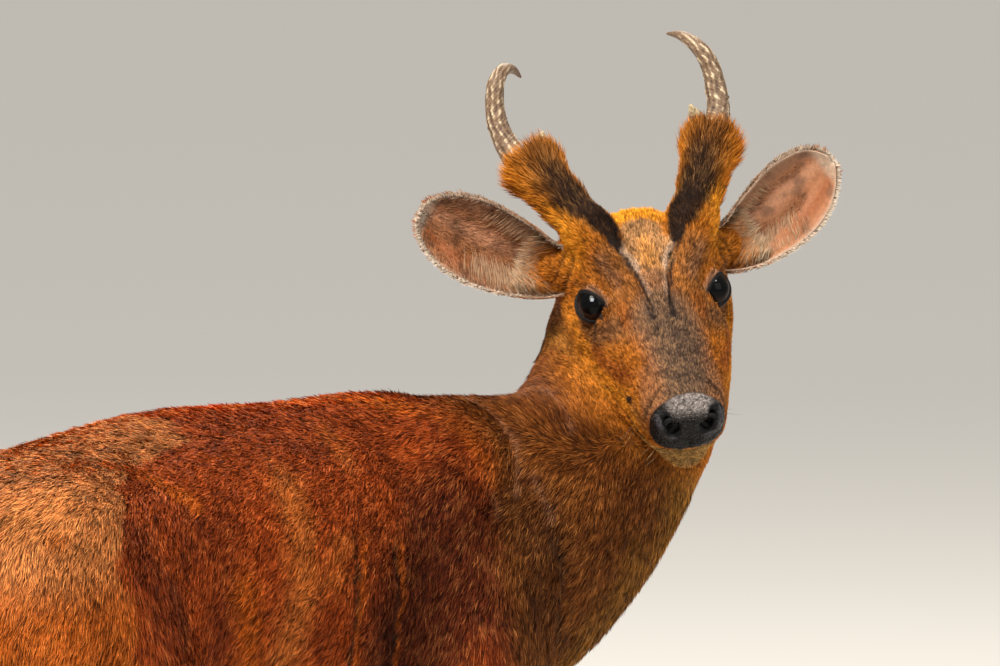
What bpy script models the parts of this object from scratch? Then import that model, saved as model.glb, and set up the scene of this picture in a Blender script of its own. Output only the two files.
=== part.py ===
"""A male muntjac, life size, standing and looking back over its right shoulder.

Metres, +Z up. +X is the way the body faces and +Y is the animal's left. The floor is z = 0.
The flesh is one hide, fused from lofts and ellipsoids and then parted by thin cuts.
Eyes, ears, antlers, hooves and dewclaws are solids of their own that stop just short of it.
"""

import math

import bmesh
import bpy
import numpy as np
from mathutils import Euler, Matrix, Vector

# Driving dimensions
GAP = 0.0003  # the clear space between neighbouring solids
WITHERS_X = 0.125
WITHERS_Z = 0.558
CHEST_BOTTOM_Z = 0.302
BODY_BEND = 0.80  # how the spine curves to the right in plan, radians a metre
BEND_CENTRE_X = -0.06
EYE_RADIUS = 0.0135
LID_THICKNESS = 0.0016
PEDICEL_LENGTH = 0.092
EAR_WIDTH = 0.059
EAR_WALL = 0.0026
ANTLER_RADIUS = 0.0100
HOOF_LENGTH = 0.037
HOOF_WIDTH = 0.0142
HOOF_HEIGHT = 0.027

# The point midway between the eyes, and how the head is turned from +X
HEAD_AT = Vector((0.318, -0.118, 0.606))
HEAD_TURN = math.radians(-129.5)
HEAD_PITCH = math.radians(37.5)
HEAD_ROLL = math.radians(8)
HEAD_SIZE = 0.96  # the head's tables are scaled by this

# Mesh sizes
BODY_VOXEL = 0.0038
HEAD_VOXEL = 0.0017
BODY_TRIANGLES = 5800
HEAD_TRIANGLES = 5400

# A body station is x, top, bottom, half width, how high its widest level lies, and fullness
TRUNK = [
    (-0.352, 0.498, 0.400, 0.030, 0.50, 2.0),
    (-0.335, 0.524, 0.360, 0.058, 0.50, 2.1),
    (-0.290, 0.541, 0.338, 0.078, 0.48, 2.1),
    (-0.220, 0.551, 0.335, 0.086, 0.46, 2.1),
    (-0.140, 0.558, 0.338, 0.087, 0.45, 2.1),
    (-0.060, 0.559, 0.325, 0.095, 0.43, 2.1),
    (0.010, 0.555, 0.312, 0.098, 0.42, 2.1),
    (0.070, 0.556, CHEST_BOTTOM_Z, 0.092, 0.42, 2.0),
    (WITHERS_X, WITHERS_Z, 0.302, 0.080, 0.42, 1.9),
    (0.185, 0.545, 0.310, 0.074, 0.42, 1.9),
    (0.245, 0.524, 0.326, 0.063, 0.45, 2.0),
    (0.285, 0.480, 0.365, 0.032, 0.50, 2.0),
]
# A limb station is x, y, z, radius fore and aft, radius sideways
FORE_LEG = [
    (0.190, 0.056, 0.430, 0.050, 0.032),
    (0.170, 0.064, 0.370, 0.048, 0.032),
    (0.156, 0.063, 0.315, 0.034, 0.026),
    (0.162, 0.061, 0.262, 0.0240, 0.0190),
    (0.169, 0.059, 0.208, 0.0178, 0.0148),
    (0.172, 0.058, 0.180, 0.0182, 0.0158),
    (0.168, 0.057, 0.155, 0.0138, 0.0122),
    (0.166, 0.056, 0.105, 0.0115, 0.0100),
    (0.167, 0.056, 0.068, 0.0142, 0.0124),
    (0.173, 0.056, 0.050, 0.0144, 0.0134),
    (0.183, 0.056, 0.032, 0.0126, 0.0138),
    (0.190, 0.056, 0.019, 0.0140, 0.0145),
]
HIND_LEG = [
    (-0.250, 0.050, 0.460, 0.085, 0.042),
    (-0.226, 0.062, 0.395, 0.080, 0.040),
    (-0.205, 0.068, 0.340, 0.060, 0.033),
    (-0.226, 0.066, 0.288, 0.039, 0.0250),
    (-0.262, 0.062, 0.245, 0.0265, 0.0180),
    (-0.290, 0.059, 0.212, 0.0210, 0.0148),
    (-0.296, 0.057, 0.185, 0.0188, 0.0142),
    (-0.291, 0.056, 0.150, 0.0140, 0.0122),
    (-0.286, 0.055, 0.105, 0.0122, 0.0106),
    (-0.283, 0.055, 0.070, 0.0143, 0.0126),
    (-0.276, 0.055, 0.050, 0.0146, 0.0134),
    (-0.265, 0.055, 0.032, 0.0126, 0.0138),
    (-0.258, 0.055, 0.019, 0.0140, 0.0145),
]
# How far each foot stands forward of its place in the lists above
FOOT_SHIFT = {
    "fore_leg_left": 0.018,
    "fore_leg_right": -0.008,
    "hind_leg_left": 0.022,
    "hind_leg_right": -0.026,
}
TAIL = [
    (-0.310, 0, 0.512, 0.022, 0.026),
    (-0.345, 0, 0.507, 0.016, 0.020),
    (-0.374, 0, 0.482, 0.013, 0.020),
    (-0.388, 0, 0.440, 0.011, 0.019),
    (-0.392, 0, 0.390, 0.008, 0.013),
    (-0.392, 0, 0.368, 0.003, 0.004),
]
# The neck is placed in the bent body: centre, radius up and down, radius sideways
NECK = [
    (0.130, -0.014, 0.428, 0.116, 0.076),
    (0.191, -0.030, 0.428, 0.120, 0.077),
    (0.255, -0.051, 0.441, 0.116, 0.074),
    (0.311, -0.067, 0.476, 0.099, 0.070),
    (0.345, -0.073, 0.524, 0.080, 0.069),
    (0.360, -0.077, 0.568, 0.065, 0.066),
    (0.356, -0.084, 0.606, 0.048, 0.058),
]
# The head in its own frame: +X along the muzzle, +Z through the crown
HEAD = [
    (-0.082, 0.008, -0.034, 0.022, 0.50, 2.0),
    (-0.068, 0.022, -0.050, 0.046, 0.50, 2.1),
    (-0.044, 0.033, -0.060, 0.057, 0.50, 2.2),
    (-0.015, 0.038, -0.060, 0.0560, 0.50, 2.1),
    (0.012, 0.037, -0.058, 0.0525, 0.44, 2.0),
    (0.038, 0.032, -0.055, 0.0510, 0.38, 2.0),
    (0.065, 0.027, -0.052, 0.0455, 0.36, 2.0),
    (0.090, 0.023, -0.049, 0.0380, 0.36, 2.1),
    (0.110, 0.020, -0.045, 0.0320, 0.42, 2.3),
    (0.124, 0.015, -0.036, 0.0265, 0.50, 2.4),
    (0.132, 0.006, -0.024, 0.0150, 0.52, 2.2),
]
EYE_AT = Vector((0.003, 0.0425, 0.003))
EYE_LOOKS = Vector((0.63, 0.52, 0.54)).normalized()
PEDICEL_ROOT = Vector((-0.028, 0.0325, 0.031))
PEDICEL_WAY = Vector((-0.915, 0.375, 0.060)).normalized()
# Each antler's beam and brow tine from the end of its pedicel, as for the left side, with the radius
BEAM = {
    "left": [
        (0.0040, -0.0020, -0.0040, 1.28),
        (-0.0120, 0.0060, 0.0010, 1.00),
        (-0.0287, 0.0104, 0.0108, 0.84),
        (-0.0456, 0.0092, 0.0252, 0.74),
        (-0.0549, 0.0043, 0.0353, 0.65),
        (-0.0642, -0.0028, 0.0398, 0.52),
        (-0.0755, -0.0092, 0.0364, 0.34),
        (-0.0850, -0.0159, 0.0301, 0.10),
    ],
    "right": [
        (0.0040, -0.0020, -0.0040, 1.28),
        (-0.0126, 0.0101, 0.0007, 1.00),
        (-0.0302, 0.0166, 0.0108, 0.82),
        (-0.0430, 0.0173, 0.0218, 0.73),
        (-0.0532, 0.0145, 0.0327, 0.66),
        (-0.0623, 0.0076, 0.0365, 0.50),
        (-0.0696, -0.0011, 0.0290, 0.34),
        (-0.0723, -0.0080, 0.0174, 0.10),
    ],
}
TINE = {
    "left": [
        (-0.0080, -0.0050, 0.0060, 0.80),
        (-0.0094, -0.0090, 0.0145, 0.62),
        (-0.0097, -0.0125, 0.0228, 0.38),
        (-0.0097, -0.0153, 0.0304, 0.08),
    ],
    "right": [
        (-0.0043, -0.0034, 0.0017, 0.80),
        (-0.0061, -0.0072, 0.0105, 0.62),
        (-0.0061, -0.0097, 0.0185, 0.38),
        (-0.0058, -0.0106, 0.0262, 0.08),
    ],
}
EAR = [(-0.046, 0.036, -0.006), (-0.045, 0.068, -0.002), (-0.064, 0.112, 0.012), (-0.088, 0.152, 0.026)]
EAR_FACES = Vector((0.74, 0.20, 0.62)).normalized()
# Each finish is a colour, a roughness and the node names that start with these words
FINISHES = {
    "eye": ((0.010, 0.007, 0.005), 0.06, ("eye",)),
    "antler": ((0.36, 0.30, 0.22), 0.50, ("antler",)),
    "hoof": ((0.040, 0.032, 0.028), 0.45, ("hoof", "dewclaw")),
    "ear": ((0.42, 0.27, 0.20), 0.85, ("ear",)),
    "coat": ((0.34, 0.13, 0.045), 0.90, ("",)),
}
# Each seam is a place, the way across it and the radius of the cut
HEAD_SEAM = (Vector((0.340, -0.070, 0.5375)), Vector((0.29, -0.57, 0.77)), 0.120)


def clear_scene():
    for obj in list(bpy.data.objects):
        bpy.data.objects.remove(obj)


def bent(point):
    """Where a point of the straight body goes when the spine is bent to the right."""
    along = BODY_BEND * (point[0] - BEND_CENTRE_X)
    reach = 1 / BODY_BEND + point[1]
    return Vector((
        BEND_CENTRE_X + math.sin(along) * reach,
        math.cos(along) * reach - 1 / BODY_BEND,
        point[2],
    ))


def head_turned():
    turn = Matrix.Rotation(HEAD_TURN, 4, "Z")
    pitch = Matrix.Rotation(HEAD_PITCH, 4, "Y")
    roll = Matrix.Rotation(HEAD_ROLL, 4, "X")
    return turn @ pitch @ roll


def head_matrix():
    return Matrix.Translation(HEAD_AT) @ head_turned() @ Matrix.Scale(HEAD_SIZE, 4)


def smooth_rows(rows, per_span):
    """Rows of numbers, with a Catmull-Rom curve run through each column."""
    keys = np.array(rows, float)
    ends = np.vstack([2 * keys[0] - keys[1], keys, 2 * keys[-1] - keys[-2]])
    made = []
    for i in range(1, len(keys)):
        a, b, c, d = ends[i - 1 : i + 3]
        for step in range(per_span):
            t = step / per_span
            made.append(
                b + 0.5 * ((c - a) * t + (2 * a - 5 * b + 4 * c - d) * t**2
                           + (3 * b - a - 3 * c + d) * t**3)
            )
    made.append(keys[-1])
    return made


def mesh_object(name, bm):
    mesh = bpy.data.meshes.new(name)
    bm.to_mesh(mesh)
    bm.free()
    obj = bpy.data.objects.new(name, mesh)
    bpy.context.scene.collection.objects.link(obj)
    return obj


def loft(name, rings):
    """A closed body through rings of points, with flat ends."""
    bm = bmesh.new()
    loops = []
    for ring in rings:
        verts = bmesh.ops.create_circle(bm, segments=len(ring), radius=1)["verts"]
        for vert, point in zip(verts, ring):
            vert.co = point
        loops.append(list({edge for vert in verts for edge in vert.link_edges}))
    for first, second in zip(loops, loops[1:]):
        bmesh.ops.bridge_loops(bm, edges=first + second)
    for edges in (loops[0], loops[-1]):
        bmesh.ops.contextual_create(bm, geom=edges)
    bmesh.ops.recalc_face_normals(bm, faces=bm.faces)
    return mesh_object(name, bm)


def trunk(name, stations, per_span=3, sides=40):
    """A body along X whose sections are egg shaped."""
    rings = []
    for x, top, bottom, half, belt, fullness in smooth_rows(stations, per_span):
        middle = bottom + belt * (top - bottom)
        ring = []
        for i in range(sides):
            across, up = math.sin(2 * math.pi * i / sides), math.cos(2 * math.pi * i / sides)
            side = math.copysign(abs(across) ** (2 / fullness), across) * half
            reach = (top - middle) if up > 0 else (middle - bottom)
            ring.append((x, side, middle + math.copysign(abs(up) ** (2 / fullness), up) * reach))
        rings.append(ring)
    return loft(name, rings)


def limb(name, stations, per_span=4, sides=24, across=(0, 1, 0)):
    """A tube. across is the way its second radius is measured."""
    rows = smooth_rows(stations, per_span)
    points = [Vector(row[:3]) for row in rows]
    rings = []
    for i, row in enumerate(rows):
        ahead = points[min(i + 1, len(rows) - 1)] - points[max(i - 1, 0)]
        ahead.normalize()
        side = Vector(across)
        side = (side - ahead * side.dot(ahead)).normalized()
        front = side.cross(ahead)
        ring = []
        for k in range(sides):
            turn = 2 * math.pi * k / sides
            ring.append(points[i] + front * (math.cos(turn) * row[3]) + side * (math.sin(turn) * row[4]))
        rings.append(ring)
    return loft(name, rings)


def ball(name, centre, radii, turned=(0, 0, 0), across=28, around=18):
    """An ellipsoid. turned is in degrees."""
    bm = bmesh.new()
    turn = Euler([math.radians(angle) for angle in turned]).to_matrix().to_4x4()
    place = Matrix.Translation(centre) @ turn @ Matrix.Diagonal((*radii, 1))
    bmesh.ops.create_uvsphere(bm, u_segments=across, v_segments=around, radius=1, matrix=place)
    return mesh_object(name, bm)


def flipped(obj):
    """The object as its own mirror image across y = 0."""
    obj.data.transform(Matrix.Diagonal((1, -1, 1, 1)))
    obj.data.flip_normals()
    return obj


def pair(builder, name, *values):
    return [builder(name + "_left", *values), flipped(builder(name + "_right", *values))]


def evaluated_mesh(obj):
    graph = bpy.context.evaluated_depsgraph_get()
    return bpy.data.meshes.new_from_object(obj.evaluated_get(graph))


def apply_modifiers(obj):
    made = evaluated_mesh(obj)
    obj.modifiers.clear()
    obj.data = made
    return obj


def cut(obj, cutter, keep_cutter=False):
    boolean = obj.modifiers.new("Cut", "BOOLEAN")
    boolean.operation = "DIFFERENCE"
    boolean.solver = "EXACT"
    boolean.object = cutter
    apply_modifiers(obj)
    if not keep_cutter:
        bpy.data.objects.remove(cutter)
    return obj


def joined(name, pieces):
    """One object that holds every piece, still as separate closed bodies."""
    bm = bmesh.new()
    for piece in pieces:
        bm.from_mesh(piece.data)
        bpy.data.objects.remove(piece)
    return mesh_object(name, bm)


def copy_of(obj, name):
    made = bpy.data.objects.new(name, obj.data.copy())
    bpy.context.scene.collection.objects.link(made)
    return made


def fuse(obj, voxel):
    remesh = obj.modifiers.new("Fuse", "REMESH")
    remesh.mode = "VOXEL"
    remesh.voxel_size = voxel
    return apply_modifiers(obj)


def thin_out(obj, triangles):
    """Fewer, larger faces, with small ones kept where the form turns fast."""
    obj.data.calc_loop_triangles()
    decimate = obj.modifiers.new("Thin out", "DECIMATE")
    decimate.ratio = triangles / len(obj.data.loop_triangles)
    decimate.use_collapse_triangulate = True
    return apply_modifiers(obj)


def coordinates(obj):
    co = np.empty(len(obj.data.vertices) * 3, np.float32)
    obj.data.vertices.foreach_get("co", co)
    return co.reshape(-1, 3).astype(float)


def put_coordinates(obj, co):
    obj.data.vertices.foreach_set("co", co.astype(np.float32).ravel())
    obj.data.update()


def normals(obj):
    found = np.empty(len(obj.data.vertices) * 3, np.float32)
    obj.data.vertices.foreach_get("normal", found)
    return found.reshape(-1, 3).astype(float)


def relax(obj, weights, rounds):
    """Moves each point towards its neighbours' mean by its weight, then some of the way back."""
    edges = np.empty(len(obj.data.edges) * 2, np.int64)
    obj.data.edges.foreach_get("vertices", edges)
    a, b = edges.reshape(-1, 2).T
    co = coordinates(obj)
    count = np.bincount(np.concatenate([a, b]), minlength=len(co))[:, None]
    for step in range(rounds * 2):
        total = np.empty_like(co)
        for axis in range(3):
            total[:, axis] = np.bincount(a, co[b, axis], len(co)) + np.bincount(b, co[a, axis], len(co))
        pull = 0.60 if step % 2 == 0 else -0.30
        co += pull * weights[:, None] * (total / count - co)
    put_coordinates(obj, co)


def in_head(co):
    """World points in the head's own frame."""
    inverse = np.array(head_matrix().inverted())
    return co @ inverse[:3, :3].T + inverse[:3, 3]


def distance_to_line(co, line):
    """Each point's distance to a polyline, and how far along the polyline that is, 0 to 1."""
    line = np.array(line, float)
    best = np.full(len(co), 1e9)
    along = np.zeros(len(co))
    for i, (a, b) in enumerate(zip(line, line[1:])):
        way = b - a
        t = np.clip((co - a) @ way / (way @ way), 0, 1)
        gone = np.linalg.norm(co - a - t[:, None] * way, axis=1)
        nearer = gone < best
        best[nearer] = gone[nearer]
        along[nearer] = (i + t[nearer]) / (len(line) - 1)
    return best, along


def groove(co, normal, line, depth, width):
    """Pushes the surface in along a line, less towards the line's ends."""
    gone, along = distance_to_line(co, line)
    fade = np.minimum(1, 6 * np.minimum(along, 1 - along) + 0.25)
    return co - normal * (depth * fade * np.exp(-((gone / width) ** 2)))[:, None]


def body_masses():
    straight = [trunk("trunk", TRUNK)]
    straight += pair(ball, "shoulder", (0.152, 0.036, 0.435), (0.095, 0.049, 0.120), (0, 22, 0))
    straight += pair(ball, "upper_arm", (0.186, 0.045, 0.376), (0.070, 0.040, 0.060), (0, 30, 0))
    straight += pair(ball, "haunch", (-0.252, 0.042, 0.435), (0.105, 0.050, 0.112), (0, -12, 0))
    straight += pair(ball, "hip", (-0.205, 0.039, 0.485), (0.095, 0.041, 0.058), (0, 10, 0))
    for name, shift in FOOT_SHIFT.items():
        stations = FORE_LEG if name.startswith("fore") else HIND_LEG
        top, foot = stations[0][2], stations[-1][2]
        moved = [(x + shift * (top - z) / (top - foot), y, z, fore, side)
                 for x, y, z, fore, side in stations]
        leg = limb(name + "_mass", moved)
        straight.append(leg if name.endswith("left") else flipped(leg))
    straight.append(limb("tail_mass", TAIL))
    for piece in straight:
        for vert in piece.data.vertices:
            vert.co = bent(vert.co)
    return straight


def neck_mass(name):
    """The neck's sections stay upright across its own curve."""
    rows = smooth_rows(NECK, 4)
    points = [Vector(row[:3]) for row in rows]
    rings = []
    for i, row in enumerate(rows):
        ahead = points[min(i + 1, len(rows) - 1)] - points[max(i - 1, 0)]
        ahead.normalize()
        side = Vector((-0.35, 0.94, 0))
        side = (side - ahead * side.dot(ahead)).normalized()
        up = ahead.cross(side)
        ring = []
        for k in range(40):
            turn = 2 * math.pi * k / 40
            ring.append(points[i] + up * (math.cos(turn) * row[3]) + side * (math.sin(turn) * row[4]))
        rings.append(ring)
    return loft(name, rings)


def pedicel_mass(name):
    shares = (-0.45, -0.20, 0.10, 0.40, 0.70, 0.92, 1.03)
    radii = (0.0070, 0.0145, 0.0210, 0.0212, 0.0222, 0.0255, 0.0200)
    rows = []
    for share, radius in zip(shares, radii):
        point = PEDICEL_ROOT + PEDICEL_WAY * (PEDICEL_LENGTH * share)
        rows.append((*point, radius, radius * 0.95))
    return limb(name, rows, across=(0.3, 1, 0))


def head_masses():
    pieces = [trunk("skull", HEAD)]
    pieces += pair(ball, "brow", (-0.012, 0.0360, 0.0175), (0.028, 0.0155, 0.0125), (0, 0, -14))
    pieces += pair(ball, "brow_ridge", (0.002, 0.0215, 0.0295), (0.036, 0.0090, 0.0080), (0, 6, -16))
    pieces += pair(ball, "temple", (-0.038, 0.0480, 0.000), (0.026, 0.0185, 0.020), (0, 0, -10))
    pieces += pair(ball, "cheekbone", (-0.010, 0.0465, -0.022), (0.048, 0.0160, 0.0140), (0, 8, -6))
    pieces += pair(ball, "jaw_muscle", (-0.012, 0.0435, -0.036), (0.054, 0.0190, 0.0280), (0, 6, -6))
    pieces += pair(ball, "lip", (0.092, 0.0205, -0.022), (0.036, 0.0150, 0.0165), (0, 3, -8))
    pieces += pair(ball, "nostril_wing", (0.119, 0.0155, -0.002), (0.0145, 0.0120, 0.0150), (0, 0, 10))
    pieces += pair(ball, "ear_root", (-0.047, 0.0540, -0.004), (0.020, 0.0230, 0.0190))
    pieces += pair(ball, "eye_bed", EYE_AT, (EYE_RADIUS + LID_THICKNESS,) * 3)
    pieces.append(ball("chin", (0.103, 0, -0.040), (0.028, 0.0205, 0.0135), (0, 4, 0)))
    pieces += pair(pedicel_mass, "pedicel_mass")
    for piece in pieces:
        piece.data.transform(head_matrix())
    return pieces


def build_body_hide():
    hide = joined("body_hide", body_masses() + [neck_mass("neck_mass")] + head_masses())
    fuse(hide, BODY_VOXEL)
    co = coordinates(hide)
    weights = np.clip((co[:, 2] - 0.20) / 0.14, 0.10, 1)
    weights[co[:, 0] < bent((-0.355, 0, 0))[0]] = 0.25
    relax(hide, weights, 60)
    return thin_out(hide, BODY_TRIANGLES)


# Lines on the head's left side, in the head's frame
GLAND = [
    (-0.0185, 0.0240, 0.042),
    (-0.0030, 0.0166, 0.041),
    (0.0130, 0.0115, 0.039),
    (0.0320, 0.0094, 0.036),
    (0.0480, 0.0079, 0.033),
]
TEAR_PIT = [(0.0220, 0.0420, 0.001), (0.0290, 0.0400, -0.002), (0.0370, 0.0370, -0.005)]
MOUTH = [
    (0.133, 0.000, -0.0275),
    (0.127, 0.017, -0.0275),
    (0.110, 0.0310, -0.0270),
    (0.086, 0.0380, -0.0250),
    (0.062, 0.0440, -0.0225),
]
PAD_EDGE = [
    (0.101, 0.000, 0.028),
    (0.109, 0.015, 0.022),
    (0.117, 0.029, 0.005),
    (0.126, 0.024, -0.013),
    (0.132, 0.010, -0.0185),
]
LID_FOLD = [(-0.014, 0.053, 0.009), (-0.004, 0.054, 0.0185), (0.009, 0.049, 0.0190), (0.019, 0.042, 0.0120)]


def carve_head(hide):
    turn = np.array(head_turned().to_3x3())
    for line, depth, width in (
        (GLAND, 0.0030, 0.0024),
        (TEAR_PIT, 0.0032, 0.0026),
        (MOUTH, 0.0032, 0.0019),
        (PAD_EDGE, 0.0010, 0.0020),
        (LID_FOLD, 0.0010, 0.0018),
    ):
        for sign in (1, -1):
            co, normal = coordinates(hide), normals(hide)
            place = in_head(co)
            drawn = np.array(line) * (1, sign, 1)
            moved = groove(place, normal @ turn, drawn, depth, width) - place
            put_coordinates(hide, co + moved @ turn.T * HEAD_SIZE)


def lid_opening(name):
    """A prism with an almond outline, as long as the slit between the lids."""
    outward = EYE_LOOKS
    along = Vector((0.10, -0.15, 1)).cross(outward).normalized()
    rise = outward.cross(along)
    middle = EYE_AT + outward * (EYE_RADIUS + 0.004)
    rings = []
    for reach in (-0.012, 0.012):
        ring = []
        for k in range(20):
            turn = 2 * math.pi * k / 20
            across = math.cos(turn)
            lift = math.sin(turn) * (1 - 0.30 * across * across)
            ring.append(middle + outward * reach + along * (across * 0.0118) + rise * (lift * 0.0078))
        rings.append(ring)
    return loft(name, rings)


def nostril(name):
    rows = [
        (0.136, 0.0125, -0.0030, 0.0046, 0.0030),
        (0.129, 0.0140, -0.0015, 0.0044, 0.0030),
        (0.120, 0.0165, 0.0010, 0.0034, 0.0026),
        (0.113, 0.0165, 0.0020, 0.0018, 0.0014),
    ]
    return limb(name, rows, sides=14, across=(0, 0.5, 1))


def eye_socket(name):
    return ball(name, EYE_AT, (EYE_RADIUS + GAP / HEAD_SIZE,) * 3, across=20, around=12)


def build_head_hide():
    hide = joined("head_hide", head_masses() + [neck_mass("neck_mass_again")])
    fuse(hide, HEAD_VOXEL)
    co = in_head(coordinates(hide))
    eye = np.array(EYE_AT)
    from_eye = np.minimum(
        np.linalg.norm(co - eye, axis=1), np.linalg.norm(co - eye * (1, -1, 1), axis=1)
    )
    relax(hide, np.clip((from_eye - 0.012) / 0.012, 0.15, 1), 18)
    carve_head(hide)
    thin_out(hide, HEAD_TRIANGLES)
    for builder in (lid_opening, nostril, eye_socket):
        for cutter in pair(builder, builder.__name__):
            cutter.data.transform(head_matrix())
            cut(hide, cutter)
    return hide


def blade(name, centre, normal, radius):
    """A disc as thick as the space to be left."""
    bm = bmesh.new()
    turn = Vector(normal).to_track_quat("Z", "Y").to_matrix().to_4x4()
    bmesh.ops.create_cone(
        bm, cap_ends=True, segments=24, radius1=radius, radius2=radius, depth=GAP,
        matrix=Matrix.Translation(centre) @ turn,
    )
    return mesh_object(name, bm)


def islands(obj):
    """The separate closed bodies of an object, each as an object of its own."""
    bm = bmesh.new()
    bm.from_mesh(obj.data)
    group = {}
    for seed in bm.verts:
        if seed in group:
            continue
        group[seed] = seed
        stack = [seed]
        while stack:
            for edge in stack.pop().link_edges:
                for vert in edge.verts:
                    if vert not in group:
                        group[vert] = seed
                        stack.append(vert)
    bodies = {}
    for face in bm.faces:
        bodies.setdefault(group[face.verts[0]], []).append(face)
    made = []
    for number, faces in enumerate(bodies.values()):
        part = bmesh.new()
        copies = {}
        for face in faces:
            for vert in face.verts:
                if vert not in copies:
                    copies[vert] = part.verts.new(vert.co)
            part.faces.new([copies[vert] for vert in face.verts])
        made.append(mesh_object(f"{obj.name}_{number}", part))
    bm.free()
    bpy.data.objects.remove(obj)
    return made


def name_by_place(pieces, places):
    """Gives each named place the piece with the nearest point. Each piece has one name."""
    points = {piece: coordinates(piece) for piece in pieces}
    named = {}
    for name, place in places.items():
        named[name] = min(
            pieces, key=lambda piece: np.linalg.norm(points[piece] - np.array(place), axis=1).min()
        )
    if len(set(named.values())) < len(places):
        raise ValueError(f"a seam does not part these: {sorted(places)}")
    for piece in pieces:
        if piece not in named.values():
            bpy.data.objects.remove(piece)
    for name, piece in named.items():
        piece.name = name
    return named


def part_body(hide):
    cuts = [
        HEAD_SEAM,
        (bent((0.232, 0, 0.450)), (0.80, -0.16, 0.55), 0.16),
        (bent((-0.377, 0, 0.486)), (-0.55, 0, -0.83), 0.024),
    ]
    for sign in (1, -1):
        cuts.append((bent((0.160, sign * 0.062, 0.290)), (0.10, 0, -1), 0.044))
        cuts.append((bent((-0.205 + sign * 0.008, sign * 0.063, 0.318)), (0.15, 0, -1), 0.066))
    for centre, way, radius in cuts:
        cut(hide, blade("seam", centre, way, radius))
    places = {
        "torso": bent((-0.06, 0, 0.559)),
        "neck": Vector((0.302, -0.064, 0.400)),
        "tail": bent((-0.392, 0, 0.38)),
    }
    for side, sign in (("left", 1), ("right", -1)):
        places[f"fore_leg_{side}"] = bent((0.168, sign * 0.057, 0.15))
        places[f"hind_leg_{side}"] = bent((-0.29, sign * 0.057, 0.18))
    return name_by_place(islands(hide), places)


def part_head(hide):
    cut(hide, blade("head_seam", *HEAD_SEAM))
    places = {"head": head_matrix() @ Vector((0.13, 0, 0))}
    for side, sign in (("left", 1), ("right", -1)):
        flip = Vector((1, sign, 1))
        root = head_matrix() @ ((PEDICEL_ROOT + PEDICEL_WAY * 0.038) * flip)
        way = head_turned().to_3x3() @ (PEDICEL_WAY * flip)
        cut(hide, blade("pedicel_seam", root, way, 0.029))
        end = (PEDICEL_ROOT + PEDICEL_WAY * PEDICEL_LENGTH) * flip
        places[f"pedicel_{side}"] = head_matrix() @ end
    return name_by_place(islands(hide), places)


def grown(obj, name, by):
    """A copy whose surface stands out from the object's by the given distance."""
    made = copy_of(obj, name)
    put_coordinates(made, coordinates(made) + normals(made) * by)
    return made


def ear(name):
    """A leaf-shaped shell rolled into a cup. Its width and its curl go along its length."""
    shares = (0, 0.12, 0.25, 0.40, 0.55, 0.70, 0.82, 0.91, 0.97, 1)
    widths = (0.42, 0.50, 0.68, 0.88, 0.99, 1.00, 0.88, 0.68, 0.42, 0.14)
    curls = (100, 98, 84, 66, 54, 46, 40, 34, 30, 28)
    path = np.array(smooth_rows(EAR, 20))
    gone = np.concatenate([[0], np.cumsum(np.linalg.norm(np.diff(path, axis=0), axis=1))])
    rings = []
    for share, width, curl in zip(shares, widths, curls):
        here = Vector([np.interp(share * gone[-1], gone, path[:, axis]) for axis in range(3)])
        ahead = Vector([np.interp(share * gone[-1] + 0.004, gone, path[:, axis]) for axis in range(3)])
        behind = Vector([np.interp(share * gone[-1] - 0.004, gone, path[:, axis]) for axis in range(3)])
        along = (ahead - behind).normalized()
        out = (EAR_FACES - along * EAR_FACES.dot(along)).normalized()
        across = along.cross(out)
        bend = math.radians(curl)
        radius = EAR_WIDTH * 0.5 * width / math.sin(min(bend, math.pi / 2))
        wall = EAR_WALL * (1.4 - 0.6 * share)
        ring = []
        for face in (1, -1):
            for s in np.linspace(-face, face, 11):
                reach = radius - wall * 0.5 * face
                ring.append(here + across * (math.sin(s * bend) * reach)
                            - out * (math.cos(s * bend) * reach - radius * 0.7))
        rings.append(ring)
    return loft(name, rings)


def antler_rows(table, name):
    end = PEDICEL_ROOT + PEDICEL_WAY * PEDICEL_LENGTH
    side = "left" if name.endswith("left") else "right"
    return [(*(end + Vector(row[:3])), ANTLER_RADIUS * row[3], ANTLER_RADIUS * row[3]) for row in table[side]]


def antler_beam(name):
    rows = antler_rows(BEAM, name)
    return limb(name, rows, per_span=3, sides=14, across=(0.3, 1, 0.2))


def antler_tine(name):
    rows = antler_rows(TINE, name)
    return limb(name, rows, per_span=3, sides=10, across=(0.3, 1, 0.2))


def hoof(name, toe_x, toe_y, inner):
    """One claw with its sole on the floor. inner is the side, +1 or -1, that its mate is on."""
    levels = [
        (0.0000, 1.00, 1.00, 0.000),
        (0.0060, 0.99, 0.98, -0.001),
        (0.0160, 0.83, 0.92, -0.005),
        (HOOF_HEIGHT, 0.62, 0.86, -0.012),
    ]
    rings = []
    for z, length, width, back in levels:
        ring = []
        for k in range(12):
            ahead, aside = math.cos(2 * math.pi * k / 12), math.sin(2 * math.pi * k / 12)
            narrow = 1 - 0.45 * max(0, ahead) ** 2
            flat = 0.72 if aside * inner > 0 else 1
            ring.append((
                toe_x + back + ahead * HOOF_LENGTH * 0.5 * length,
                toe_y + aside * flat * HOOF_WIDTH * 0.5 * width * narrow + inner * 0.0014,
                z,
            ))
        rings.append(ring)
    return loft(name, rings)


def dewclaw(name, place):
    return ball(name, place, (0.0072, 0.0050, 0.0088), (0, 24, 0), across=10, around=7)


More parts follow.
